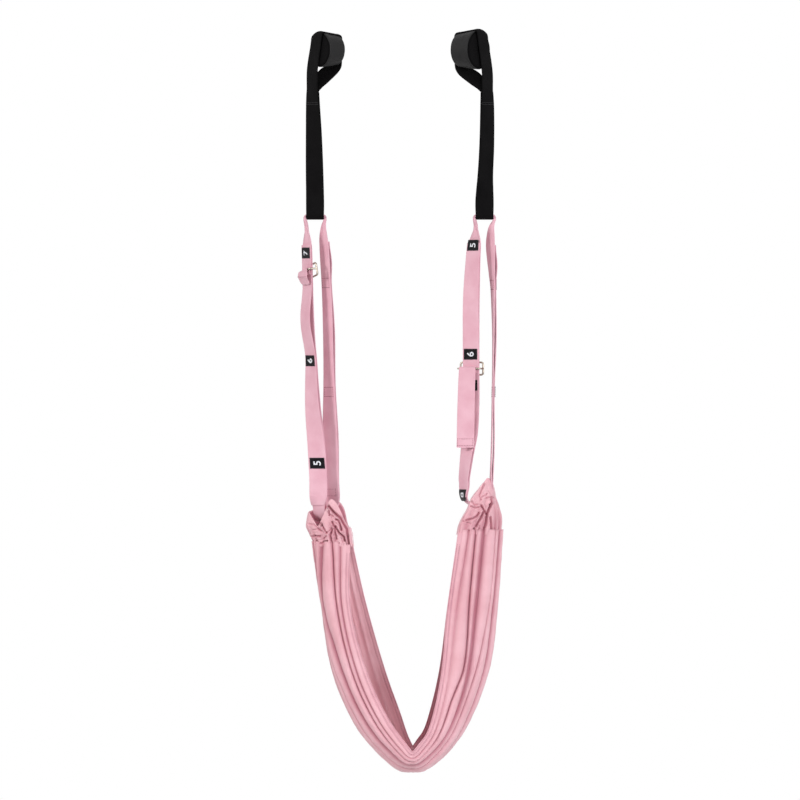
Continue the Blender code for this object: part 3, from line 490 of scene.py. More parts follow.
# Along the roll, sideways, height, how far the band bends round the roll and its twist about its own run,
# from the near neck to the far one; the lengths grow with the roll
def wrapKeys(side):
    s = anchorSettings
    size = s["size"][side]
    apart = (s["thick"] / 2 + s["gap"]) / size
    over = s["coverThick"] + s["gap"] + (s["gap"] * 1.4 + s["thick"] / 2) / size
    top = s["neckZ"] + s["neckTop"]
    near, far = rollRadius(-s["bearing"]) + over, rollRadius(s["bearing"]) + over
    neck, sideways = s["neckAlong"], s["neckSide"]
    return over, [
        (-neck - apart, sideways, top, 0, 0), (-neck - apart, sideways, -38, 0, 0), (-20.8, 14.0, -20, 0, 0),
        (-20.6, 10.5, -3, 0.2, 0), (-20.6, 7.0, near - 17, 0.7, 0), (-20.6, 5.4, near - 8, 1, 0),
        (-20.4, 5.0, near - 4.6, 1, 0), (-19.4, 4.8, near - 1.8, 1, 0), (-17.2, 4.6, near, 1, 0),
        (-13.0, 4.4, rollRadius(-13) + over, 1, 0), (0.0, 4.0, rollRadius(0) + over, 1, 0),
        (13.0, 3.6, rollRadius(13) + over, 1, 0), (17.2, 3.5, far, 1, 0), (19.4, 3.5, far - 1.8, 1, 0),
        (20.4, 3.6, far - 4.6, 1, 0), (20.6, 3.8, far - 9, 0.9, 0), (20.6, 4.2, 2, 0.4, 0),
        (20.6, 4.8, -12, 0, 0), (20.2, 5.4, -20, 0, 4), (17.6, 6.2, -27, 0, 14), (12.0, 7.2, -32, 0, 26),
        (5.0, 8.4, -37.5, 0, 32), (-2.0, 9.8, -44, 0, 31), (-9.0, 11.6, -52, 0, 24), (-15.0, 13.7, -60.5, 0, 11),
        (-neck + apart, sideways, top - 3, 0, 0)]


def anchorBand(name, side):
    s = anchorSettings
    centre, lengthWay, sideWay, up = rollFrame(side)
    size, under = s["size"][side], s["underside"]
    close = s["thick"] / 2 + s["gap"]
    over, wraps = wrapKeys(side)
    section = bandSection(s["width"], s["thick"], s["width"])

    def flatRing(place, wide, off):
        return [(place + wide * u + off * v, flat) for u, v, flat in section]

    def loopRing(height, facing):
        middle, wide, off = loopFrame(side, height, facing)
        share = min(max((s["linkZ"] + s["opening"] - height) / s["opening"], 0.0), 1.0)
        spread = close + (s["linkRadius"] - close) * math.sin(share * math.pi / 2) ** 2
        return flatRing(middle + off * spread, wide, off)

    # Heights grow with the roll down to its underside and are evened out from there to the neck
    def level(height):
        bottom, low = under * size, s["neckZ"] + s["neckUnder"]
        return height * size if height > under else bottom + (height - under) * (low - bottom) / (low - under)

    def wrapRing(along, sideways, height, bend, twist, run):
        radius = (rollRadius(min(max(along, -s["bearing"]), s["bearing"])) + over) * size
        spot = centre + (lengthWay * along + sideWay * sideways) * size + up * level(height)
        face = up * run.x - lengthWay * run.y
        swung = Matrix.Rotation(math.radians(twist), 3, face.cross(sideWay))
        ring = []
        for u, v, flat in section:
            offset = sideways * size + u
            lean = bend * offset / radius
            fall = bend * (math.sqrt(max(radius ** 2 - offset ** 2, 0)) - radius)
            off = (sideWay * lean + up * math.sqrt(1 - lean ** 2)) * run.x - lengthWay * run.y
            ring.append((spot + swung @ (sideWay * u + off * v) + up * fall, flat))
        return ring

    top = s["neckZ"] + s["neckTop"] - s["loopShort"]
    heights = [s["linkZ"] + (top - s["linkZ"]) * i / s["loopSteps"] for i in range(s["loopSteps"])]
    rings = [loopRing(height, -1) for height in heights]
    keys = [(float(i), *key) for i, key in enumerate(wraps)]
    step = 1 / s["wrapSteps"]
    for i in range(s["wrapSteps"] * (len(keys) - 1) + 1):
        at = i / s["wrapSteps"]
        ahead, behind = between(keys, min(at + step, len(keys) - 1)), between(keys, max(at - step, 0))
        run = Vector(((ahead[0] - behind[0]) * size, level(ahead[2]) - level(behind[2]))).normalized()
        rings.append(wrapRing(*between(keys, at), run))
    rings += [loopRing(height, 1) for height in reversed(heights)]
    for k in range(1, s["foldSteps"]):
        angle = math.pi * k / s["foldSteps"]
        off = Vector((0, math.cos(angle), -math.sin(angle)))
        place = Vector((side * s["halfSpan"], 0, s["linkZ"])) + off * s["linkRadius"]
        rings.append(flatRing(place, across(0) * side, off))
    return bandMesh(name, rings, [ring[0][0] for ring in rings], blackWebbing, True)


for word, side in bothSides:
    s = anchorSettings
    band = dress(anchorBand(word + "AnchorBand", side), "black_webbing", None,
                 word + "_anchor_wrap", word + "_anchor_loop")
    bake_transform(band)
print("door anchors made")


# Foam rolls: a rounded core gathered in at its ends, and a snug woven cover with shallow wrinkles

rollSettings = {
    "segments": 96, "girth": 170.0, "rimRound": 4.5, "rimSteps": 6, "hub": 3.0, "hubSink": 0.6, "ends": (6.0, 12.0),
    "gatherFolds": 13, "gathers": (0.25, 0.4, 0.3, 0.12), "fill": 0.95,
    "coverLength": 33.8, "coverRound": 1.2, "coverRows": 12, "wrinkle": 0.35, "wrinkleScale": (0.12, 2.4),
    "coverFlat": (0.0338, 0.168),
}


# Turned shape from (along, radius, depth of the gathers)
def turnedRoll(name, side, profile, madeOf, closed, wrinkle):
    s = rollSettings
    centre, lengthWay, sideWay, up = rollFrame(side)
    points, rows, segments = [], len(profile), s["segments"]
    lengthScale, roundScale = s["wrinkleScale"]
    for along, radius, depth in profile:
        for k in range(segments):
            angle = 2 * math.pi * k / segments
            spoke = sideWay * math.cos(angle) + up * math.sin(angle)
            dent = depth * math.cos(s["gatherFolds"] * angle + side)
            waves = wrinkle * noise.noise(Vector((along * lengthScale, math.cos(angle) * roundScale + side,
                                                  math.sin(angle) * roundScale)))
            offset = lengthWay * (along + dent) + spoke * (radius + waves)
            points.append(centre + offset * anchorSettings["size"][side])
    faces, uvs = skin(rows, segments, lambda r, k: (s["girth"] * k / segments, profile[r % rows][0]), closed)
    if not closed:
        for low in (0, (rows - 1) * segments):
            faces.append(tuple(low + k for k in range(segments)))
            uvs.append(tuple((s["girth"] * k / segments, 0.0) for k in range(segments)))
    return meshObject(name, points, faces, madeOf, uvs)


def rollCore(name, side):
    s = rollSettings
    half, rim, steps = anchorSettings["rollLength"] / 2, s["rimRound"], s["rimSteps"]
    hubGather, faceGather, edgeGather, rimGather = s["gathers"]
    profile = [(-half + s["hubSink"], s["hub"], 0.0)]
    for end in (-1, 1):
        rows = [(end * half, s["ends"][0], hubGather), (end * half, s["ends"][1], faceGather),
                (end * half, rollRadius(end * half) - rim - 2.0, edgeGather)]
        for k in range(steps + 1):
            angle = math.pi / 2 * k / steps
            along = end * (half - rim + rim * math.cos(angle))
            rows.append((along, rollRadius(along) - rim + rim * math.sin(angle), rimGather * (1 - k / steps)))
        profile += rows[::-end]
    profile.append((half - s["hubSink"], s["hub"], 0.0))
    return turnedRoll(name, side, profile, blackFoam, False, 0.0)


def rollCover(name, side):
    half, edge, count = rollSettings["coverLength"] / 2, rollSettings["coverRound"], rollSettings["coverRows"]
    inner = anchorSettings["gap"]
    outer = inner + anchorSettings["coverThick"]
    rounded = [math.pi / 2 * k / 4 for k in range(5)]
    rows = [(edge - edge * math.cos(angle) - half, edge * math.sin(angle) - edge) for angle in rounded]
    rows += [(-half + edge + 2 * (half - edge) * k / count, 0.0) for k in range(1, count)]
    rows += [(-along, sunk) for along, sunk in rows[4::-1]]
    profile = [(along, rollRadius(along) + outer + sunk, 0.0) for along, sunk in rows]
    for k in range(count + 1):
        along = half - 2 * half * k / count
        profile.append((along, rollRadius(along) + inner, 0.0))
    return turnedRoll(name, side, profile, coverCloth, True, rollSettings["wrinkle"])


for word, side in bothSides:
    core = dress(rollCore(word + "RollCore", side), "black_foam", "anchors", word + "_foam_roll")
    cover = dress(rollCover(word + "RollCover", side), "black_webbing", "anchors", word + "_roll_cover")
    flat = tuple(length * anchorSettings["size"][side] for length in rollSettings["coverFlat"])
print("foam rolls made")


# Pink straps: the webbing's two legs, the ply sewn outside each leg, and the run inside the casing

strapSettings = {
    "width": 30.0, "thick": 2.0, "clothThick": 1.9, "plyThick": 1.6, "gap": 0.3, "gathered": 10.6,
    "linkZ": -275.0, "halfSpan": 141.5, "top": -284.0, "bridgeReach": 16.4, "bridgeBend": 3.8, "bridgeDrop": 2.0,
    "hingeZ": -718.0, "hingeRadius": 19.4, "cutGap": 0.04, "cutX": 133, "cutHalf": 60.0, "cutDepth": 120.0,
    "cutSteps": 48, "step": 3.0, "footHeights": {-1: (-718.0, -731.0, -744.0), 1: (-718.0, -731.0)}, "denser": 3,
    "plyEnds": {"left_front": 12, "left_back": 12, "right_front": 9, "right_back": 12},
    "blend": ((-0.133, 0, -0.700), (-0.133, 0, -0.737)),
}

# Height, x, y, turn, width and thickness down each leg
legKeys = {
    "left_front": [
        (-284, -157.9, 0, -88, 10.6, 4.4), (-294, -156.0, 0, -70, 13, 4.6), (-310, -154.9, -0.5, -60, 22, 3.2),
        (-330, -154.4, -1, -59, 30, 2), (-380, -153.0, -1.6, -59, 30, 2), (-430, -151.6, -2.2, -59, 30, 2),
        (-480, -149.6, -3, -57, 30, 2), (-519, -147.0, -4, -54, 30, 2), (-560, -145.4, -4.5, -47, 30, 2),
        (-601, -143.3, -5, -37, 30, 2), (-651, -139.6, -5.5, -20, 30, 2), (-690, -137.4, -6, -8, 30, 2),
        (-718, -136.0, -6.5, -4, 30, 2), (-745, -135.8, -8, -14, 30, 2)],
    "left_back": [
        (-284, -125.1, 0, -88, 10.6, 4.4), (-294, -127.4, 0, -70, 13, 4.6), (-310, -127.6, 0, -60, 22, 3.2),
        (-330, -126.3, 0.5, -60, 30, 2), (-390, -123.0, 1.5, -60, 30, 2), (-440, -120.8, 2, -58, 30, 2),
        (-520, -119.0, 3.5, -56, 30, 2), (-571, -118.0, 4, -50, 30, 2), (-610, -117.4, 5, -42, 30, 2),
        (-651, -116.8, 5.5, -33, 30, 2), (-690, -116.5, 6, -28, 30, 2), (-718, -115.8, 7, -27, 30, 2),
        (-745, -113.6, 10, -34, 30, 2)],
    "right_front": [
        (-284, 125.1, 0, -88, 10.6, 4.4), (-294, 126.9, 0, -65, 14, 4.5), (-310, 126.2, -0.5, -52, 24, 3),
        (-325, 124.6, -1, -45, 30, 2), (-351, 123.0, -2, -41, 30, 2), (-417, 120.3, -3, -31, 30, 2),
        (-484, 119.6, -4, -28, 30, 2), (-535, 119.6, -4.5, -28, 30, 2), (-590, 119.6, -5, -28, 30, 2),
        (-640, 118.0, -5, -36, 30, 2), (-668, 114.8, -5, -48, 30, 2), (-700, 110.8, -4, -56, 30, 2),
        (-718, 108.8, -3.5, -59, 30, 2), (-745, 108.6, -6, -62, 30, 2)],
    "right_back": [
        (-284, 157.9, 0, -88, 10.6, 4.4), (-294, 153.4, 0, -68, 14, 4.5), (-310, 151.7, 0, -62, 24, 3),
        (-330, 151.4, 0, -62, 30, 2), (-375, 154.0, 1, -72, 30, 2), (-400, 155.4, 2, -78, 30, 2),
        (-484, 156.2, 3, -86, 30, 2), (-600, 154.6, 3, -88, 30, 2), (-660, 153.5, 1, -88, 30, 2),
        (-718, 151.8, 0, -86, 30, 2), (-745, 151.0, 1, -80, 30, 2)],
}

# Where the outer ply is sewn down, from the top, and how far it stands off in the hand loop below
tackKeys = {
    "left_front": [(-326, 0.0), (-390, 6.2), (-514, 2.2), (-690, 1.2), (-760, 0.0)],
    "left_back": [(-320, 2.6), (-389, 2.2), (-571, 1.8), (-740, 0.0)],
    "right_front": [(-322, 1.4), (-513, 0.0), (-592, 1.8), (-760, 0.0)],
    "right_back": [(-326, 2.4), (-392, 1.6), (-571, 1.6), (-760, 0.0)],
}

# The lowest run of each strap, inside the casing: x, y, z and turn of the middle of both plies
baseKeys = {
    -1: [(-136.0, -8.8, -754.0, -32.0)]
        + [(-124.0 - 12.0 * math.cos(math.pi * k / 10), 1.5 - 10.5 * math.cos(math.pi * k / 10),
            -763.0 - 24.0 * math.sin(math.pi * k / 10), -48.8) for k in range(11)]
        + [(-112.6, 11.4, -754.0, -43.0)],
    1: [(106.8, -6.0, -741.0, -67.0), (108.3, -6.0, -750.0, -74.0), (114.0, -5.0, -757.6, -80.0),
        (122.5, -4.0, -763.6, -84.0), (132.0, -2.5, -767.0, -86.0), (141.0, -1.0, -765.6, -88.0),
        (147.8, 0.0, -757.6, -88.0), (151.0, 0.4, -746.0, -86.0)],
}


# Place, width direction, direction to the inside of the loop, width and thickness
def leg(which, height):
    x, y, turn, width, thick = between(legKeys[which], height)
    wide = across(turn)
    inner = Vector((-wide.y, wide.x, 0)) * (-1 if which.endswith("back") else 1)
    return Vector((x, y, height)), wide, inner, width, thick


def standOff(which, height):
    tacks = tackKeys[which]
    for (top, bulge), (bottom, unused) in zip(tacks, tacks[1:]):
        if bottom <= height <= top:
            return bulge * math.sin(math.pi * (top - height) / (top - bottom)) ** 2
    return 0.0


# The run inside the casing as x, y, z and turn of the middle of both plies, denser than its keys
def basePath(side):
    word = "left" if side < 0 else "right"
    shift = (strapSettings["gap"] + strapSettings["plyThick"]) / 2
    lows, denser = strapSettings["footHeights"][side], strapSettings["denser"]

    def onMiddle(half, height):
        place, wide, inner, width, thick = leg(word + half, height)
        return (*(place - inner * shift), math.degrees(math.atan2(wide.y, wide.x)))

    places = [onMiddle("_front", height) for height in lows] + baseKeys[side]
    places += [onMiddle("_back", height) for height in reversed(lows)]
    keys = [(float(i), *place) for i, place in enumerate(places)]
    return [between(keys, i / denser) for i in range(denser * (len(keys) - 1) + 1)]


# Stations of the base at an offset from the middle of both plies, inward positive
def baseStations(side, offset, thick):
    path = basePath(side)
    made = []
    for i, (x, y, z, turn) in enumerate(path):
        before, after = path[max(i - 1, 0)], path[min(i + 1, len(path) - 1)]
        run = (Vector(after[:3]) - Vector(before[:3])).normalized()
        inner = across(turn).cross(run).normalized()
        wide = run.cross(inner).normalized()
        made.append((Vector((x, y, z)) + inner * offset, wide, inner, strapSettings["width"], thick, 0.0))
    return made


# Stations down to the hinge, of the leg itself or of the ply on it
def legStations(which, top, ply=False):
    s = strapSettings
    made = []
    count = max(2, math.ceil((top - s["hingeZ"]) / s["step"]))
    for i in range(count + 1):
        height = top + (s["hingeZ"] - top) * i / count
        place, wide, inner, width, thick = leg(which, height)
        if ply:
            out = thick / 2 + s["gap"] + s["plyThick"] / 2 + standOff(which, height)
            made.append((place - inner * out, wide, inner, s["width"], s["plyThick"], 0.0))
        else:
            crush = min(max((s["width"] - width) / (s["width"] - s["gathered"]), 0.0), 1.0)
            made.append((place, wide, inner, width, s["clothThick"], crush))
    return made


# The whole webbing as one closed band, from the front leg's foot up, over the black fold and round the casing
def webbingLoop(name, side):
    s = strapSettings
    word = "left" if side < 0 else "right"
    bend, low, wide = s["bridgeBend"], s["linkZ"] - s["bridgeDrop"], across(-88)
    flatHalf = s["bridgeReach"] - bend

    def bridge(x, z, off):
        return Vector((side * s["halfSpan"] + x, 0, low + z)), wide, off, s["gathered"], s["clothThick"], 1.0

    def corner(turn):
        x, z = math.cos(math.radians(turn)), math.sin(math.radians(turn))
        return bridge(math.copysign(flatHalf, x) + bend * x, bend * z - bend, Vector((-x, 0, -z)))

    stations = legStations(word + "_front", s["top"])[::-1]
    stations += [corner(180 - 10 * k) for k in range(1, 9)]
    stations += [bridge(-flatHalf + flatHalf * k / 4, 0, Vector((0, 0, -1))) for k in range(9)]
    stations += [corner(10 * k) for k in range(8, 0, -1)]
    stations += legStations(word + "_back", s["top"])
    stations += baseStations(side, (s["gap"] + s["plyThick"]) / 2, s["clothThick"])[1:-1][::-1]
    return sweepBand(name, stations, pinkWebbing, s["width"], closed=True)


def loopPly(name, which):
    s = strapSettings
    side = -1 if which.startswith("left") else 1
    base = baseStations(side, -(s["thick"] + s["gap"]) / 2, s["plyThick"])
    if which.endswith("back"):
        base = base[::-1]
    stations = legStations(which, tackKeys[which][0][0], ply=True) + base[1:s["plyEnds"][which]]
    return sweepBand(name, stations, pinkWebbing, s["width"])


# Splits a band of the right strap along the round hinge line: keeps what is above it or what is below it
def hingeCut(piece, keepAbove):
    s = strapSettings
    radius = s["hingeRadius"] + (s["cutGap"] if keepAbove else -s["cutGap"])
    half, deep, steps = s["cutHalf"], s["cutDepth"], s["cutSteps"]
    outline = [(-half, -deep), (half, -deep), (half, 0.0)]
    outline += [(radius * math.cos(math.pi * k / steps), radius * math.sin(math.pi * k / steps))
                for k in range(steps + 1)]
    outline.append((-half, 0.0))
    count = len(outline)
    points = [(x, y, s["hingeZ"] + z) for x in (s["cutX"] - half, s["cutX"] + half) for y, z in outline]
    faces = skin(2, count, lambda r, c: (0, 0))[0] + [tuple(range(count)), tuple(range(count, 2 * count))]
    cutter = meshObject("hingeCutter", points, faces, pinkWebbing)
    cutter.data.shade_flat()
    cut = piece.modifiers.new("cut", "BOOLEAN")
    cut.operation = "DIFFERENCE" if keepAbove else "INTERSECT"
    cut.solver = "EXACT"
    cut.object = cutter
    result = evaluatedMesh(piece)
    piece.modifiers.clear()
    piece.data = result
    result.materials.clear()
    result.materials.append(pinkWebbing)
    bpy.data.objects.remove(cutter)
    return piece


webbing = dress(webbingLoop("leftWebbing", -1), "pink_webbing", None, "left_webbing", "left_webbing_base")
leftPieces = [webbing] + [dress(loopPly("left" + half.capitalize() + "Ply", "left_" + half), "pink_webbing", None,
                                "left_" + half + "_loop_ply") for half in ("front", "back")]
for piece in leftPieces:
    foldStart, foldEnd = strapSettings["blend"]
    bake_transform(piece)
    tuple(foldStart)
    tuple(foldEnd)
dress(hingeCut(webbingLoop("rightWebbing", 1), True), "pink_webbing", "right_strap", "right_webbing")
dress(hingeCut(webbingLoop("rightWebbingBase", 1), False), "pink_webbing", "sling", "right_webbing_base")
for half in ("front", "back"):
    stem, which = "right" + half.capitalize() + "Ply", "right_" + half
    dress(hingeCut(loopPly(stem, which), True), "pink_webbing", "right_strap", which + "_loop_ply")
    dress(hingeCut(loopPly(stem + "Foot", which), False), "pink_webbing", "sling")
print("straps made")


# Number labels: a folded woven tape sewn over each seam, with its figure lying on its side

labelSettings = {
    "length": 18.0, "width": 25.0, "thick": 0.6, "columns": 16, "rows": 12, "rim": 0.07, "rimThin": 0.35,
    "figureHeight": 12.5, "figureScale": 1.38, "figureBold": 0.35, "figureLift": 0.06, "thread": 0.1,
    "baseZ": -743.0, "baseStretch": 0.97, "baseLift": 0.6, "baseProbe": 1.5,
}

# Middle height and figure of each label, from the top
labelKeys = {
    "left_front": [(-339, "7"), (-519, "6"), (-690, "5")],
    "left_back": [(-389, "6"), (-571, "5")],
    "right_front": [(-326, "5"), (-508, "6"), (-560, "7")],
    "right_back": [(-392, "6"), (-571, "5")],
}


# Point on a leg's outer face: across the width, height, and lift off the ply
def onLeg(which, flatAcross, height, lift):
    s = strapSettings
    place, wide, inner, width, thick = leg(which, height)
    out = s["thick"] / 2 + s["gap"] * 2 + s["plyThick"] + standOff(which, height) + lift
    return place + wide * flatAcross - inner * out


# Figure as flat faces about its own middle
def figureShape(figure):
    s = labelSettings
    curve = bpy.data.curves.new("figure", "FONT")
    curve.body = figure
    curve.size = s["figureHeight"] * s["figureScale"]
    curve.offset = s["figureBold"]
    curve.align_x = curve.align_y = "CENTER"
    curve.resolution_u = 6
    holder = newObject("figure", curve)
    shape = bmesh.new()
    shape.from_mesh(evaluatedMesh(holder))
    bmesh.ops.triangulate(shape, faces=shape.faces)
    bmesh.ops.subdivide_edges(shape, edges=shape.edges, cuts=1)
    shape.verts.ensure_lookup_table()
    xs, ys = [v.co.x for v in shape.verts], [v.co.y for v in shape.verts]
    midX, midY = (min(xs) + max(xs)) / 2, (min(ys) + max(ys)) / 2
    points = [(x - midX, y - midY) for x, y in zip(xs, ys)]
    faces = [tuple(v.index for v in f.verts) for f in shape.faces]
    shape.free()
    bpy.data.objects.remove(holder)
    return points, faces


# Tape on a surface function (across, along, lift), thinner at its rim
def labelTapePiece(name, surface):
    s = labelSettings
    columns, rows, rim = s["columns"], s["rows"], s["rim"]

    def flat(r, c):
        return (c / columns - 0.5) * s["width"], (r / rows - 0.5) * s["length"]

    points = []
    for lift in (-s["thick"] / 2, s["thick"] / 2):
        for r in range(rows + 1):
            for c in range(columns + 1):
                u, v = abs(c / columns - 0.5) * 2, abs(r / rows - 0.5) * 2
                edge = min((max(0.0, u - 1 + rim) + max(0.0, v - 1 + rim)) / rim, 1.0)
                points.append(surface(*flat(r, c), lift * (1 - s["rimThin"] * edge)))
    faces, uvs = skin(rows + 1, columns + 1, flat, joinColumns=False)
    stride = (columns + 1) * (rows + 1)
    faces += [tuple(i + stride for i in face) for face in faces]
    uvs += uvs
    border = [(0, c) for c in range(columns)] + [(r, columns) for r in range(rows)]
    border += [(rows, c) for c in range(columns, 0, -1)] + [(r, 0) for r in range(rows, 0, -1)]
    for here, there in zip(border, border[1:] + border[:1]):
        i, j = (r * (columns + 1) + c for r, c in (here, there))
        faces.append((i, j, j + stride, i + stride))
        uvs.append((flat(*here), flat(*there), flat(*there), flat(*here)))
    return meshObject(name, points, faces, labelTape, uvs)


figureShapes = {}


def labelFigure(name, figure, surface):
    s = labelSettings
    if figure not in figureShapes:
        figureShapes[figure] = figureShape(figure)
    shape, faces = figureShapes[figure]
    points = [surface(-y, x, s["thick"] / 2 + s["figureLift"]) for x, y in shape]
    made = meshObject(name, points, faces, figureThread)
    thicken = made.modifiers.new("thread", "SOLIDIFY")
    thicken.thickness = s["thread"] * mm
    thicken.offset = 0.0
    return made


def sewLabel(stem, figure, surface, body, node):
    dress(labelTapePiece(stem, surface), "label_black", body, node)
    dress(labelFigure(stem + "Figure", figure, surface), "label_black", body)


def legSurface(which, middle):
    facing = -1 if which.endswith("back") else 1
    lowFace = labelSettings["thick"] / 2
    return lambda flatAcross, along, lift: onLeg(which, flatAcross * facing, middle + along, lowFace + lift)


# Outside of the bend of the right strap, just above its casing
def baseSurface():
    s = labelSettings
    path = [(Vector(p[:3]), across(p[3])) for p in basePath(1)]
    keys = [(place.z, place.x, place.y, wide.x, wide.y) for place, wide in path[2:16]]
    reach = (strapSettings["thick"] + strapSettings["gap"] + strapSettings["plyThick"]) / 2 + s["baseLift"]

    def surface(flatAcross, along, lift):
        height = s["baseZ"] + along * s["baseStretch"]
        x, y, wideX, wideY = between(keys, height)
        ahead, behind = between(keys, height - s["baseProbe"]), between(keys, height + s["baseProbe"])
        run = Vector((ahead[0] - behind[0], ahead[1] - behind[1], -2 * s["baseProbe"])).normalized()
        wide = Vector((wideX, wideY, 0)).normalized()
        out = run.cross(wide).normalized()
        return Vector((x, y, height)) + wide * flatAcross + out * (reach + s["thick"] / 2 + lift)

    return surface


for which, labels in labelKeys.items():
    word, half = which.split("_")
    for number, (middle, figure) in enumerate(labels, 1):
        sewLabel(word + half.capitalize() + "Label" + str(number), figure, legSurface(which, middle),
                 word + "_strap", which + "_label_" + str(number))
sewLabel("rightBaseLabel", "8", baseSurface(), "sling", "right_base_label")
print("labels made")


# Sliders: a plated ring behind the webbing and the bridge bar that the tail folds over.
# Places give height, shift, turn and lean
sliderSettings = {
    "width": 44.0, "height": 24.0, "wire": 1.6, "barWire": 1.504, "backGap": 3.0, "barOut": 7.8, "corner": 4.0,
    "barCorner": 3.4, "sides": 18, "cornerSteps": 6, "above": 25, "below": 35,
    "places": {"left_front": (-370.0, 0.0, -60.0, 14.0), "right_front": (-532.0, -1.5, -24.0, 0.0)},
}


def sliderFrame(which):
    s = sliderSettings
    height, shift, turn, lean = s["places"][which]
    up = (leg(which, height + s["above"])[0] - leg(which, height - s["below"])[0]).normalized()
    wide = across(turn)
    out = up.cross(wide).normalized() * -1
    tilt = Matrix.Rotation(math.radians(lean), 3, out)
    return leg(which, height)[0] + Vector((shift, 0, 0)), tilt @ wide, tilt @ up, out


# Adds a round wire along a path, with its section started from the side direction
def roundBar(points, faces, path, radius, side, closed):
    sides, count, start = sliderSettings["sides"], len(path), len(points)
    for i, centre in enumerate(path):
        before = path[(i - 1) % count] if closed else path[max(i - 1, 0)]
        after = path[(i + 1) % count] if closed else path[min(i + 1, count - 1)]
        along = (after - before).normalized()
        first = along.cross(side).normalized()
        second = first.cross(along)
        for k in range(sides):
            angle = 2 * math.pi * k / sides
            points.append(centre + (first * math.cos(angle) + second * math.sin(angle)) * radius)
    quads = skin(count, sides, lambda r, c: (0, 0), closed)[0]
    if not closed:
        quads += [tuple(range(sides)), tuple(range((count - 1) * sides, count * sides))]
    faces += [tuple(start + k for k in quad) for quad in quads]


# Path through corner points, with each corner rounded
def roundedPath(corners, radius, closed):
    path, count, steps = [], len(corners), sliderSettings["cornerSteps"]
    for i, corner in enumerate(corners):
        if not closed and i in (0, count - 1):
            path.append(corner)
            continue
        inWay, outWay = corner - corners[(i - 1) % count], corners[(i + 1) % count] - corner
        cut = min(radius, inWay.length * 0.45, outWay.length * 0.45)
        start, end = corner - inWay.normalized() * cut, corner + outWay.normalized() * cut
        path += [start.lerp(corner, k / steps).lerp(corner.lerp(end, k / steps), k / steps) for k in range(steps + 1)]
    return path


def slider(name, which):
    s = sliderSettings
    place, wide, up, out = sliderFrame(which)
    half, tall = s["width"] / 2 - s["wire"], s["height"] / 2 - s["wire"]
    back = -(strapSettings["thick"] / 2 + s["backGap"] + s["wire"])
    points, faces = [], []
    ring = [place + wide * (half * u) + up * (tall * v) + out * back for u, v in ((1, 1), (-1, 1), (-1, -1), (1, -1))]
    roundBar(points, faces, roundedPath(ring, s["corner"], True), s["wire"], out, True)
    bridge = [place + wide * u + out * v for u, v in
              ((-half, back), (-half, s["barOut"]), (half, s["barOut"]), (half, back))]
    roundBar(points, faces, roundedPath(bridge, s["barCorner"], False), s["barWire"], up, False)
    return meshObject(name, points, faces, sliderSteel, sharp=60.0)


# Free tails: folded over the bridge bar, hanging in front, with the end turned back and sewn.
# Runs give drop, x, y and turn; turned is where the doubled end starts and stops
tailSettings = {
    "thick": 1.3, "width": 30.0, "barGap": 0.35, "turnedExtra": 1.4, "turnedEase": 1.2, "step": 3.0, "settled": 9.0,
    "backDrops": (8.0, 6.0, 4.0, 2.0), "foldSteps": 16, "firstDrop": 1.5, "cornerSteps": 6,
    "shift": {"left_front": 0.0, "right_front": -1.6},
    "turned": {"left_front": (3.0, 11.0), "right_front": (115.5, 130.5)},
    "corner": {"left_front": 6.0, "right_front": 1.2},
    "runs": {
        "left_front": [(0, -162.9, -7.3, -60), (9, -162.6, -7.1, -60), (16, -159.4, -5.6, -60),
                       (22, -157.1, -4.6, -60)],
        "right_front": [(0, 112.4, -14.0, -24), (30, 111.4, -15.6, -20), (70, 110.4, -17.8, -15),
                        (132, 109.4, -20.4, -10)],
    },
}


def tailBar(which):
    place, wide, up, out = sliderFrame(which)
    return place + out * sliderSettings["barOut"] + wide * tailSettings["shift"][which], wide, up, out


def tailPlace(which, drop):
    x, y, turn = between(tailSettings["runs"][which], drop)
    wide = across(turn)
    return Vector((x, y, tailBar(which)[0].z - drop)), wide, Vector((wide.y, -wide.x, 0))


def tail(name, which):
    s = tailSettings
    bar, wide, up, out = tailBar(which)
    around = sliderSettings["wire"] + s["barGap"] + s["thick"] / 2
    stations = [(bar - out * around - up * drop, wide, -out, s["width"], s["thick"], 0.0)
                for drop in s["backDrops"]]
    for k in range(s["foldSteps"] + 1):
        angle = math.pi * k / s["foldSteps"]
        off = -out * math.cos(angle) + up * math.sin(angle)
        stations.append((bar + off * around, wide, off, s["width"], s["thick"], 0.0))
    length, corner, ease = s["runs"][which][-1][0], s["corner"][which], s["turnedEase"]
    start, end = s["turned"][which]
    drops = [s["firstDrop"] + s["step"] * k for k in range(int(length / s["step"]) + 1)]
    drops += [start, start + ease / 2, start + ease, end - ease, end - ease / 2, end]
    steps = s["cornerSteps"]
    drops += [length - corner * (1 - math.sin(math.pi / 2 * k / steps)) for k in range(steps + 1)]
    for drop in sorted(set(drop for drop in drops if drop <= length)):
        spot, turned, off = tailPlace(which, drop)
        blend = min(drop / s["settled"], 1.0)
        if blend < 1:
            spot = spot.lerp(bar + out * around - up * drop, 1 - blend)
        doubled = min(max(min(drop - start, end - drop) / ease, 0.0), 1.0)
        cornered = max(0.0, (drop - length + corner) / corner)
        width = s["width"] - 2 * corner * (1 - math.sqrt(max(1 - cornered ** 2, 0.0)))
        stations.append((spot, wide.lerp(turned, blend).normalized(), off, width,
                         s["thick"] + s["turnedExtra"] * doubled, 0.0))
    return sweepBand(name, stations, pinkWebbing, s["width"])


for word, side in bothSides:
    dress(slider(word + "Slider", word + "_front"), "slider_metal", word + "_slider", word + "_slider")
    dress(tail(word + "Tail", word + "_front"), "pink_webbing", word + "_tail", word + "_tail")
print("sliders and tails made")
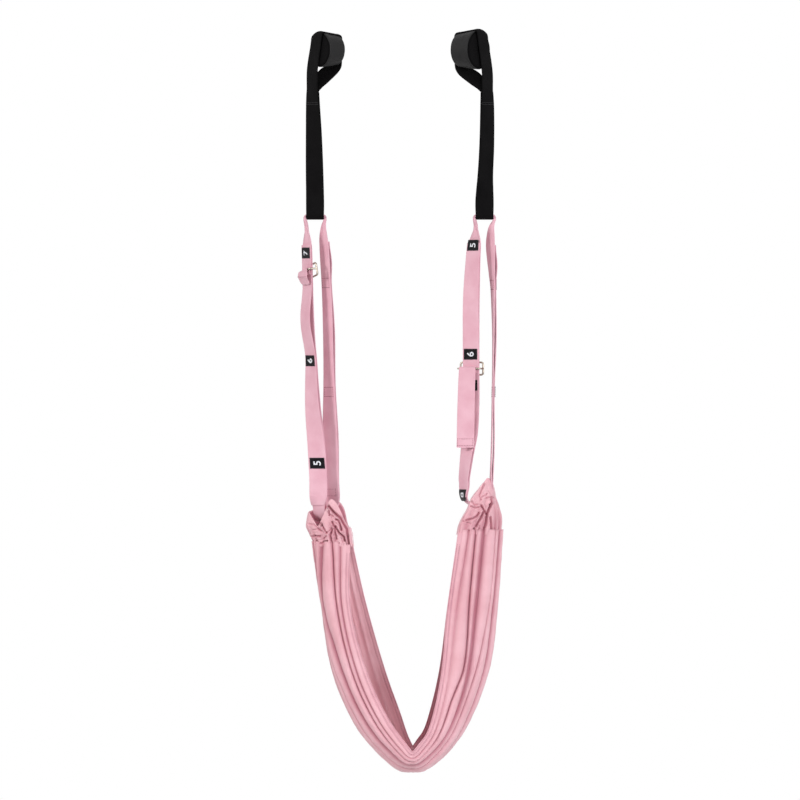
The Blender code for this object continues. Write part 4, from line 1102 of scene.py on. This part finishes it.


# Sling: one wide cloth gathered into deep lengthwise pleats, open towards the person

# shade, shadeWidth and frontShade set the painted shade in the valleys of the pleats
slingSettings = {
    "rows": 200, "columns": 245, "thick": 1.1, "hemWidth": 8.0, "hemGap": 0.8, "hemThick": 2.4, "hemIn": 0.6,
    "ridge": 0.34, "ridgePower": 0.66, "lean": 0.20, "wrinkle": 0.55, "notch": 2.2, "notchWidth": 1.9,
    "shadeWidth": 3.4, "shade": 0.75, "sink": 6.0, "edgeEase": 7.0, "flat": (0.26, 0.86), "strength": (0.8, 0.35),
    "strengthScale": (0.8, 3.1, 1.7), "leanWay": (2.4, 0.7), "frontShade": 5.0, "edgeWrinkle": 0.4,
    "wrinkleScale": (5.0, 26.0, 1.5), "fineScale": (16.0, 34.0, 9.0), "ripple": 0.5, "rippleScale": (9.0, 4.0),
}

# Outer edge x and z, inner edge x and z, half depth, reach of the front hem
slingKeys = [
    (-145.8, -820.5, -78.2, -820.5, 27, 0.95), (-131.6, -925.0, -54.8, -925.0, 40, 0.62),
    (-111.6, -1037.0, -23.0, -1037.0, 58, 0.62), (-69.8, -1130.0, 3.7, -1112.0, 80, 0.70),
    (-14.0, -1190.0, 15.5, -1150.0, 95, 0.85), (19.0, -1201.0, 22.0, -1164.0, 100, 0.90),
    (52.0, -1193.0, 30.0, -1151.0, 95, 0.90), (103.9, -1137.0, 43.8, -1122.0, 76, 0.90),
    (144.0, -1038.7, 63.8, -1040.0, 52, 0.95), (160.6, -925.0, 78.0, -930.0, 36, 1.0),
    (169.0, -800.5, 96.4, -800.5, 27, 1.0),
]

# Valleys between the pleats: column at chosen rows, from -1 at the front hem to 1 at the back one
slingValleys = [
    [(0, -0.90), (2, -0.88), (5, -0.90), (8, -0.945), (10, -0.90)],
    [(0, -0.72), (1, -0.74), (2, -0.76), (5, -0.76), (7.45, -0.806), (8.1, -0.717), (9.25, -0.752), (10, -0.77)],
    [(0, -0.50), (0.9, -0.30), (1.3, -0.36), (1.6, -0.47), (2.2, -0.54), (5, -0.60), (8, -0.628), (10, -0.63)],
    [(0, -0.30), (0.9, -0.12), (1.4, -0.20), (2.2, -0.34), (5, -0.42), (7.45, -0.516), (8.3, -0.46), (9.1, -0.376),
     (10, -0.36)],
    [(0, -0.12), (1, -0.05), (3, -0.14), (5, -0.20), (8, -0.25), (10, -0.18)],
    [(0, 0.06), (5, 0.02), (10, 0.05)],
    [(0, 0.24), (3, 0.20), (6, 0.26), (10, 0.22)],
    [(0, 0.42), (2, 0.45), (5, 0.40), (8, 0.44), (10, 0.40)],
    [(0, 0.60), (3, 0.61), (6, 0.57), (10, 0.60)],
    [(0, 0.78), (1, 0.806), (2.5, 0.765), (3.2, 0.744), (5, 0.74), (8, 0.77), (10, 0.76)],
    [(0, 0.92), (1, 0.917), (2.5, 0.898), (3.2, 0.86), (5, 0.88), (8, 0.91), (10, 0.90)],
]


def slingEdges(row):
    keys = [(float(i), *key) for i, key in enumerate(slingKeys)]
    outerX, outerZ, innerX, innerZ, depth, reach = between(keys, row)
    outer, inner = Vector((outerX, 0, outerZ)), Vector((innerX, 0, innerZ))
    span = (inner - outer).length
    inner = outer + (inner - outer) * ((span - slingSettings["hemWidth"] - slingSettings["hemGap"]) / span)
    return outer, inner, depth, reach


# Smooth section of the sling at a column, and the direction to its hollow side
def slingSection(column, edges):
    outer, inner, depth, reach = edges
    angle = column * math.pi / 2
    span = inner - outer
    place = outer + span * (1 - math.cos(angle)) * (reach if column < 0 else 1.0)
    place += Vector((0, depth * math.sin(angle), 0))
    inward = span.normalized() * (math.cos(angle) / max(span.length, 1) * depth)
    return place, (inward - Vector((0, 1, 0)) * math.sin(angle)).normalized()


# Height of the pleats off the smooth section, the sideways lean that lets them overlap, and the painted shade, full in
# a fold
def pleatAt(row, column, valleys, scale):
    s = slingSettings
    spots = [-1.0] + valleys + [1.0]
    i = 0
    while i < len(spots) - 2 and column > spots[i + 1]:
        i += 1
    low, high = spots[i], spots[i + 1]
    share = min(max((column - low) / (high - low), 0.0), 1.0)
    width = (high - low) * scale
    rise = abs(math.sin(math.pi * share)) ** s["ridgePower"]
    alongRow, perPleat, aside = s["strengthScale"]
    base, spread = s["strength"]
    strength = base + spread * noise.noise(Vector((row * alongRow + i * perPleat, i * aside, 0.3)))
    beside = min(share if low > -1.0 else 1.0, 1 - share if high < 1.0 else 1.0) * width
    height = s["ridge"] * strength * width * rise - s["notch"] * math.exp(-(beside / s["notchWidth"]) ** 2)
    turnBy, turnFrom = s["leanWay"]
    lean = s["lean"] * width * rise * math.sin(i * turnBy + turnFrom)
    return height, lean, s["shade"] * math.exp(-(beside / s["shadeWidth"]) ** 2)


def slingMesh():
    s = slingSettings
    rows, columns = s["rows"], s["columns"]
    (rowScale, columnScale, skew), (fineRow, fineColumn, fineSkew) = s["wrinkleScale"], s["fineScale"]
    grid, paintedFoldShades = [], []
    for i in range(rows + 1):
        row = (len(slingKeys) - 1) * i / rows
        outer, inner, depth, reach = edges = slingEdges(row)
        valleys = [between(track, row)[0] for track in slingValleys]
        line = []
        for j in range(columns + 1):
            column = -1 + 2 * j / columns
            place, facing = slingSection(column, edges)
            span = (inner - outer).length * (reach if column < 0 else 1.0)
            scale = math.pi / 2 * math.sqrt((span ** 2 + depth ** 2) / 2)
            height, lean, fold = pleatAt(row, column, valleys, scale)
            edge = min(1.0, s["edgeEase"] * (1 - abs(column)))
            # Painted shade in the folds, faded out near the hems and over the back half of the cloth
            paintedFoldShades.append(fold * edge * min(max(1.0 - s["frontShade"] * column, 0.0), 1.0))
            tangent = (slingSection(column + 0.01, edges)[0] - place).normalized()
            fine = s["wrinkle"] * noise.noise(Vector((row * rowScale, column * columnScale + row * skew, 1.7)))
            spot = Vector((row * fineRow + column * fineSkew, column * fineColumn, 4.2))
            fine += s["wrinkle"] / 2 * noise.noise(spot)
            flow = height * edge + fine * (s["edgeWrinkle"] + (1 - s["edgeWrinkle"]) * edge)
            line.append(place - facing * (flow - s["ridge"] * s["sink"] * edge) + tangent * lean * edge)
        grid.append(line)
    return grid, paintedFoldShades


# Painted shade in the folds, from 0 to 1, that darkens the cloth's colour
def paintFoldShade(piece, paintedFoldShades):
    layer = piece.data.attributes.new("fold", "FLOAT", "POINT")
    layer.data.foreach_set("value", np.array(paintedFoldShades, np.float32))


def slingCloth(name, grid, paintedFoldShades):
    points = np.array([[tuple(p) for p in line] for line in grid])
    rows, columns = points.shape[:2]
    runs = np.zeros((2, rows, columns))
    runs[0, :, 1:] = np.cumsum(np.linalg.norm(np.diff(points, axis=1), axis=2), axis=1)
    runs[1, 1:] = np.cumsum(np.linalg.norm(np.diff(points, axis=0), axis=2), axis=0)
    faces, uvs = skin(rows, columns, lambda r, c: runs[:, r, c], joinColumns=False)
    made = meshObject(name, points.reshape(-1, 3).tolist(), faces, pinkCloth, uvs, sharp=80.0)
    paintFoldShade(made, paintedFoldShades)
    thicken = made.modifiers.new("cloth", "SOLIDIFY")
    thicken.thickness = slingSettings["thick"] * mm
    thicken.offset = 0.0
    thicken.use_even_offset = False
    solid = evaluatedMesh(made)
    made.modifiers.clear()
    made.data = solid
    return made


slingGrid, slingPaintedShades = slingMesh()
sling = dress(slingCloth("slingCloth", slingGrid, slingPaintedShades), "pink_cloth", "sling", "sling_cloth")
print("sling cloth made")


# Hem bands along both long edges, folded twice and stitched, following the edge of the cloth

# Rim of the cloth at a row of its grid, the way of the hem's width and the way off its face
def hemFrame(edge, i, reach):
    row = (len(slingKeys) - 1) * i / slingSettings["rows"]
    outer, inner = slingEdges(row)[:2]
    out = (inner - outer).normalized()
    rim, before, after = (slingGrid[k][0 if edge < 0 else -1] for k in (i, i - reach, i + reach))
    run = (after - before).normalized()
    off = run.cross(out).normalized()
    wide = off.cross(run).normalized()
    if wide.dot(out) < 0:
        wide = -wide
    rowScale, edgeScale = slingSettings["rippleScale"]
    ripple = off * (slingSettings["ripple"] * noise.noise(Vector((row * rowScale, edge * edgeScale, 0.5))))
    return rim - wide * slingSettings["hemIn"] + ripple, wide, off


def hemBand(name, edge):
    s = slingSettings
    stations = []
    for i in range(1, s["rows"], 2):
        rim, wide, off = hemFrame(edge, i, 1)
        stations.append((rim + wide * (s["hemWidth"] / 2), wide, off, s["hemWidth"], s["hemThick"], 0.0))
    return sweepBand(name, stations, hemCloth, s["hemWidth"], columns=8)


hems = [dress(hemBand(word + "Hem", edge), "hem_cloth", "sling", word + "_hem")
        for word, edge in (("front", -1), ("back", 1))]
print("hems made")


# Ruched casings: the cloth bunched round the lowest run of each strap

# shade, darkDepth, markWide and the lip's marks set the painted shade in the creases, the pleats and on the lip
casingSettings = {
    "rows": 96, "columns": 210, "closing": 34, "pleat": 0.26, "pleatScale": 62.0, "noise": 0.9, "shade": 0.8,
    "mirrorX": 118.0, "mirrorDown": 3.0, "mirrorDepth": 0.7, "pinchRows": 6.0, "weave": (0.95, 0.75), "bulge": 0.05,
    "swell": 0.32, "swellAway": 2.1, "swellWide": 1.1, "markWide": 1.15, "darkDepth": 4.0, "noiseScale": (0.11, 0.07),
    "lip": ((14.0, 3.4), (8.0, 3.0), (3.0, 2.6), (0.6, 1.9), (-0.5, 0.9)), "lipRoom": 9.0, "flat": (0.17, 0.10),
    "lipPaintedShade": (1.0, 1.0, 1.0, 0.3, 0.3), "facingGain": 1.6, "seamPower": 1.3,
}

# Height, then the outer and inner silhouette, half depth and how boxy the section is
casingLevels = {
    -1: [(-748, -149.5, -77.5, 27, 0.62), (-771, -153.0, -80.5, 28.5, 0.62), (-785, -155.6, -83.5, 29.5, 0.64),
         (-797, -156.2, -84.6, 29.5, 0.68), (-810, -149.8, -81.6, 29.0, 0.8), (-820, -145.4, -80.4, 28.4, 0.95),
         (-829, -143.6, -79.4, 28.0, 1.0)],
    1: [(-715, 153.5, 140.4, 18.0, 0.8), (-724, 156.0, 138.4, 20.5, 0.8), (-735, 158.4, 130.6, 23.0, 0.75),
        (-752, 162.0, 119.7, 26.0, 0.68), (-765, 166.5, 115.0, 28.0, 0.66), (-777, 169.0, 108.6, 28.8, 0.68),
        (-790, 169.6, 102.2, 28.6, 0.85), (-800, 169.0, 99.4, 28.2, 0.95), (-809, 168.2, 98.0, 27.8, 1.0)],
}

# Top edge in height for a share of the way from the outer side to the inner one, front then back
casingRims = {
    -1: ([(0, -771), (0.10, -780), (0.20, -789), (0.275, -795), (0.33, -786), (0.40, -766), (0.455, -752),
          (0.52, -750.5), (0.62, -756), (0.75, -770), (0.88, -785), (1, -797)],
         [(0, -771), (0.2, -766), (0.45, -754), (0.62, -752), (0.8, -764), (1, -797)]),
    1: ([(0, -722), (0.3, -716), (0.7, -716), (1, -724)], [(0, -722), (0.3, -718), (0.7, -717), (1, -724)]),
}

# Creases on the side towards the viewer, by their course in the photograph's pixels: points, width and depth in mm
casingCreases = {
    -1: [
        ([(328.6, 505.9), (333.9, 512.0), (340.8, 518.1), (343.3, 523.0), (346.9, 528.7), (347.6, 534.9),
          (349.0, 545.0), (350.6, 556.0)], 1.7, 7.5),
        ([(335.9, 519.3), (338.8, 520.2), (340.4, 524.7), (341.4, 530.0)], 1.5, 4.0),
        ([(335.7, 526.0), (336.7, 528.7), (339.2, 532.8), (344.1, 536.9), (345.3, 543.0), (346.9, 553.2)], 1.6, 5.5),
        ([(332.2, 521.8), (334.7, 526.7), (335.5, 532.8), (336.7, 539.0)], 1.5, 4.5),
        ([(332.5, 529.0), (330.2, 534.9), (331.4, 541.0), (333.3, 547.1), (333.9, 554.9)], 1.6, 4.5),
        ([(322.0, 524.7), (324.1, 528.6), (326.8, 532.8)], 1.3, 3.4),
        ([(311.0, 513.2), (317.1, 519.8), (322.0, 524.7)], 1.2, 2.4),
        ([(326.8, 532.8), (330.0, 530.0), (332.4, 526.0)], 1.3, 2.4),
        ([(312.0, 536.9), (315.0, 535.9), (319.8, 536.2)], 1.7, 3.6),
        ([(317.0, 541.8), (321.2, 543.2), (327.8, 540.9)], 1.4, 3.0),
        ([(315.0, 547.0), (318.8, 545.4)], 1.1, 1.8),
        ([(309.3, 524.0), (314.3, 524.6), (318.4, 528.7), (324.5, 532.4)], 1.6, 1.8),
        ([(313.5, 530.0), (318.0, 528.8), (321.5, 531.5)], 1.4, 1.4),
        ([(324.0, 538.5), (326.3, 536.0)], 1.2, 2.0),
        ([(329.0, 510.2), (329.6, 515.2)], 1.3, 3.4),
        ([(330.4, 514.6), (333.9, 516.4)], 1.1, 2.0),
        ([(333.9, 521.5), (337.5, 523.9)], 1.1, 1.6),
        ([(337.5, 543.5), (339.0, 543.0)], 1.2, 2.2),
        ([(341.5, 537.5), (342.3, 539.5), (343.4, 552.0)], 1.2, 2.4),
    ],
    1: [
        ([(481.3, 505.6), (484.4, 510.8), (486.2, 514.0)], 1.6, 5.0),
        ([(483.2, 511.8), (481.8, 515.0), (480.0, 519.0), (478.1, 522.4), (476.2, 526.4)], 1.6, 5.5),
        ([(479.0, 512.8), (476.8, 515.5), (473.0, 518.4), (465.9, 520.0)], 1.4, 3.6),
        ([(490.8, 503.7), (489.2, 507.5), (487.8, 511.2), (486.5, 516.3), (486.1, 522.6), (484.4, 528.0),
          (483.1, 537.0)], 1.7, 6.0),
        ([(491.2, 497.8), (491.3, 503.7), (490.0, 506.5)], 1.5, 4.2),
        ([(486.3, 497.6), (491.1, 496.7), (495.8, 498.8)], 1.2, 2.2),
        ([(487.5, 505.2), (490.0, 503.8)], 1.0, 1.6),
        ([(489.9, 517.0), (490.6, 523.0), (491.1, 530.0)], 1.5, 3.6),
        ([(484.2, 484.0), (479.4, 494.8), (481.0, 499.4)], 1.5, 2.2),
        ([(481.9, 496.6), (484.4, 495.4), (486.8, 493.6)], 1.2, 1.8),
        ([(470.6, 505.9), (474.5, 507.6), (478.9, 506.9)], 1.1, 2.6),
        ([(471.6, 501.0), (474.6, 505.0), (477.6, 504.2)], 1.2, 2.0),
        ([(463.0, 521.0), (467.5, 522.6), (470.8, 523.8)], 1.1, 2.0),
        ([(469.0, 530.2), (468.2, 536.0)], 1.4, 3.4),
        ([(474.3, 528.4), (474.9, 537.0)], 1.4, 3.6),
        ([(479.2, 525.4), (478.1, 536.0)], 1.3, 3.0),
        ([(498.4, 510.4), (498.6, 522.0), (498.1, 537.0)], 1.6, 2.2),
        ([(494.2, 485.0), (495.8, 491.5), (496.6, 497.0)], 1.1, 1.4),
        ([(488.2, 490.2), (490.8, 496.2)], 1.0, 0.9),
    ],
}


# Place at a share of the way round and down; closing from 0 to 1 runs round the inner side from back to front
def casingSurface(side, share, rimShare, closing=None):
    front, back = casingRims[side]
    angle = share * math.pi / 2
    fromOuter = 1 - math.cos(angle)
    if closing is None:
        rim = between(front if share < 0 else back, fromOuter)[0]
    else:
        rim = back[-1][1] + (front[-1][1] - back[-1][1]) * closing
    height = rim + (casingLevels[side][-1][0] - rim) * rimShare
    outer, inner, depth, boxy = between(casingLevels[side], height)
    if closing is None:
        wave = abs(math.sin(angle)) ** boxy
        return outer + (inner - outer) * fromOuter, math.copysign(depth * wave, share), height
    bulge = casingSettings["bulge"] * (inner - outer) * math.sin(math.pi * closing)
    return inner + bulge, depth * math.cos(math.pi * closing), height


def segmentDistance(x, z, a, b):
    along, place = b - a, np.stack([x - a[0], z - a[1]], axis=-1)
    share = np.clip((place @ along) / max(along @ along, 1e-9), 0.0, 1.0)
    return np.linalg.norm(place - share[..., None] * along, axis=-1)


# Height change that a set of creases makes at points given by x and z, with a swell on both sides of each crease,
# and the painted shade that each point gets from lying in a crease
def creaseField(creases, x, z):
    s = casingSettings
    total, deep = np.zeros(x.shape), np.zeros(x.shape)
    for course, width, depth in creases:
        line = [np.array(pixelToMm(px, py)) for px, py in course]
        near = np.full(x.shape, 1e6)
        for a, b in zip(line, line[1:]):
            near = np.minimum(near, segmentDistance(x, z, a, b))
        total -= depth * np.exp(-(near / width) ** 2)
        total += s["swell"] * depth * np.exp(-((near - s["swellAway"] * width) / (s["swellWide"] * width)) ** 2)
        # Painted shade along each crease, fuller for deeper creases
        deep = np.maximum(deep, min(depth / s["darkDepth"], 1.0) * np.exp(-(near / (s["markWide"] * width)) ** 2))
    return total, deep


def casingPiece(name, side):
    s = casingSettings
    rows, columns, closing = s["rows"], s["columns"], s["closing"]
    count = columns + closing
    shares = [-1 + 2 * j / columns for j in range(columns + 1)]
    grid = np.array([[casingSurface(side, share, i / rows) for share in shares]
                     + [casingSurface(side, 1.0, i / rows, j / closing) for j in range(1, closing)]
                     for i in range(rows + 1)])
    normal = np.cross(np.gradient(grid, axis=0), np.roll(grid, -1, axis=1) - np.roll(grid, 1, axis=1))
    normal /= np.linalg.norm(normal, axis=2, keepdims=True)
    normal *= np.sign(((grid - grid.mean(axis=1, keepdims=True)) * normal).sum(axis=2).mean())

    # Creases as seen in front, and the same ones mirrored behind, each with its painted shade
    x, z = grid[..., 0], grid[..., 2]
    facing, behind = (np.clip(way * normal[..., 1] * s["facingGain"], 0.0, 1.0) for way in (-1, 1))
    lift, paintedFoldShades = creaseField(casingCreases[side], x, z)
    mirrored, mirroredPaintedShades = creaseField(casingCreases[side], 2 * side * s["mirrorX"] - x, z + s["mirrorDown"])
    lift = lift * facing + mirrored * behind * s["mirrorDepth"]
    paintedFoldShades = paintedFoldShades * facing + mirroredPaintedShades * behind

    # The sling's pleats and their painted shade grow in towards the seam
    row = 0.0 if side < 0 else float(len(slingKeys) - 1)
    valleys = [between(track, row)[0] for track in slingValleys]
    fine, tall = s["noiseScale"]
    for i in range(rows + 1):
        fade = (i / rows) ** s["seamPower"]
        for j in range(count):
            if j <= columns:
                height, lean, fold = pleatAt(row, shares[j], valleys, s["pleatScale"])
                lift[i, j] += (height - slingSettings["notch"]) * fade * s["pleat"] / slingSettings["ridge"]
                paintedFoldShades[i, j] = max(paintedFoldShades[i, j], fold * fade)
            p = grid[i, j]
            lift[i, j] += s["noise"] * noise.noise(Vector((p[0] * fine, p[1] * fine, p[2] * tall + side)))
    pinch = np.minimum(1.0, np.arange(rows + 1) / s["pinchRows"])[:, None]
    shaped = grid + normal * (lift * pinch)[..., None]

    # A lip turned in at the top edge, darkened with painted shade
    rim, middle = shaped[0], shaped[0].mean(axis=0)
    inward = middle - rim
    inward[:, 2] = 0
    reach = np.linalg.norm(inward, axis=1, keepdims=True)
    inward *= np.minimum(1.0, reach / s["lipRoom"]) / np.maximum(reach, 1e-6)
    rings = [rim + inward * shift - (0, 0, depth) for depth, shift in s["lip"]] + list(shaped)
    # Painted shade for each point: on the lip rings, in the creases and pleats, and full at both cap centres
    paintedShadeMarks = [mark for mark in s["lipPaintedShade"] for k in range(count)] + paintedFoldShades.ravel().tolist() + [1.0, 1.0]
    points = [tuple(p) for ring in rings for p in ring]
    u, v = s["weave"]
    faces, uvs = skin(len(rings), count, lambda r, c: (c * u, r * v))
    for r in (0, len(rings) - 1):
        points.append(tuple(rings[r].mean(axis=0)))
        for k in range(count):
            faces.append((r * count + k, r * count + (k + 1) % count, len(points) - 1))
            uvs.append(((k * u, 0.0), (k * u + u, 0.0), (k * u, 20.0)))
    made = meshObject(name, points, faces, pinkCloth, uvs, sharp=80.0)
    paintFoldShade(made, np.clip(paintedShadeMarks, 0.0, 1.0) * s["shade"])
    return made


for word, side in bothSides:
    casing = dress(casingPiece(word + "Casing", side), "pink_cloth", "sling", word + "_casing")
print("casings made")


# Sewing: one Geometry Nodes tree lays a thread stitch at every step of each seam line

stitchSettings = {
    "pitch": 2.6, "fill": 2.0 / 2.6, "radius": 0.38, "lift": 0.12, "segments": 10, "rings": 6,
    "labelBox": (11.0, 7.6), "labelRadius": 0.28, "footBox": (9.0, 5.6), "footZ": -739.0,
    "boxFrom": 10, "tailHalf": 13.0, "tailBoxHalf": 12.8, "tailIn": 1.9, "tailRow": 2.0, "rowSteps": 12,
    "anchorHalf": 13.5, "anchorRows": (-4.5, -7.5), "hemRows": (2.2, 6.4), "hemPitch": 3.0, "hemRadius": 0.26,
}


def stitchTree(madeOf):
    tree = bpy.data.node_groups.new("stitches" + madeOf.name, "GeometryNodeTree")
    tree.interface.new_socket("Seams", in_out="INPUT", socket_type="NodeSocketGeometry")
    sizes = [tree.interface.new_socket(size, in_out="INPUT", socket_type="NodeSocketFloat").identifier
             for size in ("Pitch", "Stitch Length", "Thread Radius")]
    tree.interface.new_socket("Stitches", in_out="OUTPUT", socket_type="NodeSocketGeometry")
    start = addNode(tree, "NodeGroupInput")
    line = addNode(tree, "GeometryNodeMeshToCurve", Mesh=start)
    steps = addNode(tree, "GeometryNodeResampleCurve", {"mode": "LENGTH"}, Curve=line, Length=start.outputs["Pitch"])
    bead = addNode(tree, "GeometryNodeMeshUVSphere", Segments=stitchSettings["segments"],
                   Rings=stitchSettings["rings"], Radius=1.0)
    half = addNode(tree, "ShaderNodeMath", {"operation": "MULTIPLY"}, i0=start.outputs["Stitch Length"], i1=0.5)
    radius = start.outputs["Thread Radius"]
    shape = addNode(tree, "ShaderNodeCombineXYZ", X=half, Y=radius, Z=radius)
    thread = addNode(tree, "GeometryNodeTransform", Geometry=bead, Scale=shape)
    facing = addNode(tree, "GeometryNodeInputNamedAttribute", {"data_type": "FLOAT_VECTOR"}, Name="facing")
    along = addNode(tree, "FunctionNodeAlignRotationToVector", {"axis": "X"},
                    Vector=addNode(tree, "GeometryNodeInputTangent"))
    upright = addNode(tree, "FunctionNodeAlignRotationToVector", {"axis": "Z", "pivot_axis": "X"},
                      Rotation=along, Vector=facing.outputs["Attribute"])
    laid = addNode(tree, "GeometryNodeInstanceOnPoints", Points=steps, Instance=thread, Rotation=upright)
    solid = addNode(tree, "GeometryNodeRealizeInstances", Geometry=laid)
    addNode(tree, "NodeGroupOutput", Stitches=addNode(tree, "GeometryNodeSetMaterial", Geometry=solid,
                                                      Material=madeOf))
    return tree, sizes


stitchTrees = {thread.name: stitchTree(thread) for thread in (pinkThread, blackThread)}


# Runs: lists of (point, facing) in mm
def stitches(name, runs, thread, body, pitch=stitchSettings["pitch"], radius=stitchSettings["radius"]):
    points, edges, facings = [], [], []
    for run in runs:
        edges += [(len(points) + i, len(points) + i + 1) for i in range(len(run) - 1)]
        points += [tuple((p + n * stitchSettings["lift"]) * mm) for p, n in run]
        facings += [tuple(n) for p, n in run]
    mesh = bpy.data.meshes.new(name)
    mesh.from_pydata(points, edges, [])
    facing = mesh.attributes.new("facing", "FLOAT_VECTOR", "POINT")
    facing.data.foreach_set("vector", [c for n in facings for c in n])
    made = newObject(name, mesh)
    tree, sizes = stitchTrees[thread.name]
    sewing = made.modifiers.new("sewing", "NODES")
    sewing.node_group = tree
    for size, value in zip(sizes, (pitch, pitch * stitchSettings["fill"], radius)):
        sewing[size] = value * mm
    solid = evaluatedMesh(made)
    made.modifiers.clear()
    made.data = solid
    solid.shade_smooth()
    if len(solid.materials) == 0:
        solid.materials.append(thread)
    dress(made, "label_black" if thread is blackThread else "pink_webbing", body)


# Rectangle as runs on a surface function (across, along) -> (point, facing)
def boxRun(surface, halfWide, halfTall):
    corners = [(-halfWide, -halfTall), (halfWide, -halfTall), (halfWide, halfTall), (-halfWide, halfTall)]
    runs = []
    for (u0, v0), (u1, v1) in zip(corners, corners[1:] + corners[:1]):
        steps = max(2, int(math.hypot(u1 - u0, v1 - v0) / 2.0))
        runs.append([surface(u0 + (u1 - u0) * k / steps, v0 + (v1 - v0) * k / steps) for k in range(steps + 1)])
    return runs


def rowRun(surface, half, along):
    steps = stitchSettings["rowSteps"]
    return [surface(-half + 2 * half * k / steps, along) for k in range(steps + 1)]


def tapeSurface(which, middle):
    return lambda u, v: (onLeg(which, u, middle + v, labelSettings["thick"]), -leg(which, middle + v)[2])


def insideSurface(which, middle):
    def surface(u, v):
        place, wide, inner, width, thick = leg(which, middle + v)
        return place + wide * u + inner * (thick / 2), inner
    return surface


def tailSurface(which, middle):
    def surface(u, v):
        spot, wide, off = tailPlace(which, middle + v)
        return spot + wide * u + off * (tailSettings["thick"] + tailSettings["turnedExtra"]) / 2, off
    return surface


def anchorSurface(side, facing):
    def surface(u, v):
        middle, wide, off = loopFrame(side, anchorSettings["neckZ"] + v, facing)
        return middle + off * (anchorSettings["thick"] + anchorSettings["gap"]) + wide * u, off
    return surface


s = stitchSettings
for word, side in bothSides:
    labels = [(word + half, middle) for half in ("_front", "_back") for middle, figure in labelKeys[word + half]]
    stitches(word + "LabelStitches", [run for label in labels for run in boxRun(tapeSurface(*label), *s["labelBox"])],
             blackThread, word + "_strap", radius=s["labelRadius"])
    stitches(word + "SeamStitches", [run for label in labels for run in boxRun(insideSurface(*label), *s["labelBox"])],
             pinkThread, word + "_strap")
    start, end = tailSettings["turned"][word + "_front"]
    if end - start > s["boxFrom"]:
        surface = tailSurface(word + "_front", (start + end) / 2)
        runs = boxRun(surface, s["tailBoxHalf"], (end - start) / 2 - s["tailIn"])
    else:
        runs = [rowRun(tailSurface(word + "_front", end), s["tailHalf"], -s["tailRow"])]
    stitches(word + "TailStitches", runs, pinkThread, word + "_tail")

# Box at the foot of the left back leg, where the outer ply ends
stitches("leftFootStitches", boxRun(insideSurface("left_back", s["footZ"]), *s["footBox"]), pinkThread, "sling")

# Seam across each anchor just below the neck, on both of its faces
for word, side in bothSides:
    stitches(word + "AnchorStitches", [rowRun(anchorSurface(side, facing), s["anchorHalf"], down)
                                       for facing in (-1, 1) for down in s["anchorRows"]],
             blackThread, word + "_anchor")

# Two rows along each hem
for word, edge in (("front", -1), ("back", 1)):
    frames = [hemFrame(edge, i, 2) for i in range(4, slingSettings["rows"] - 3, 2)]
    runs = [[(rim + wide * row + off * (slingSettings["hemThick"] / 2 * face), off * face) for rim, wide, off in frames]
            for row in s["hemRows"] for face in (-1, 1)]
    stitches(word + "HemStitches", runs, pinkThread, "sling", pitch=s["hemPitch"], radius=s["hemRadius"])
print("sewing made")
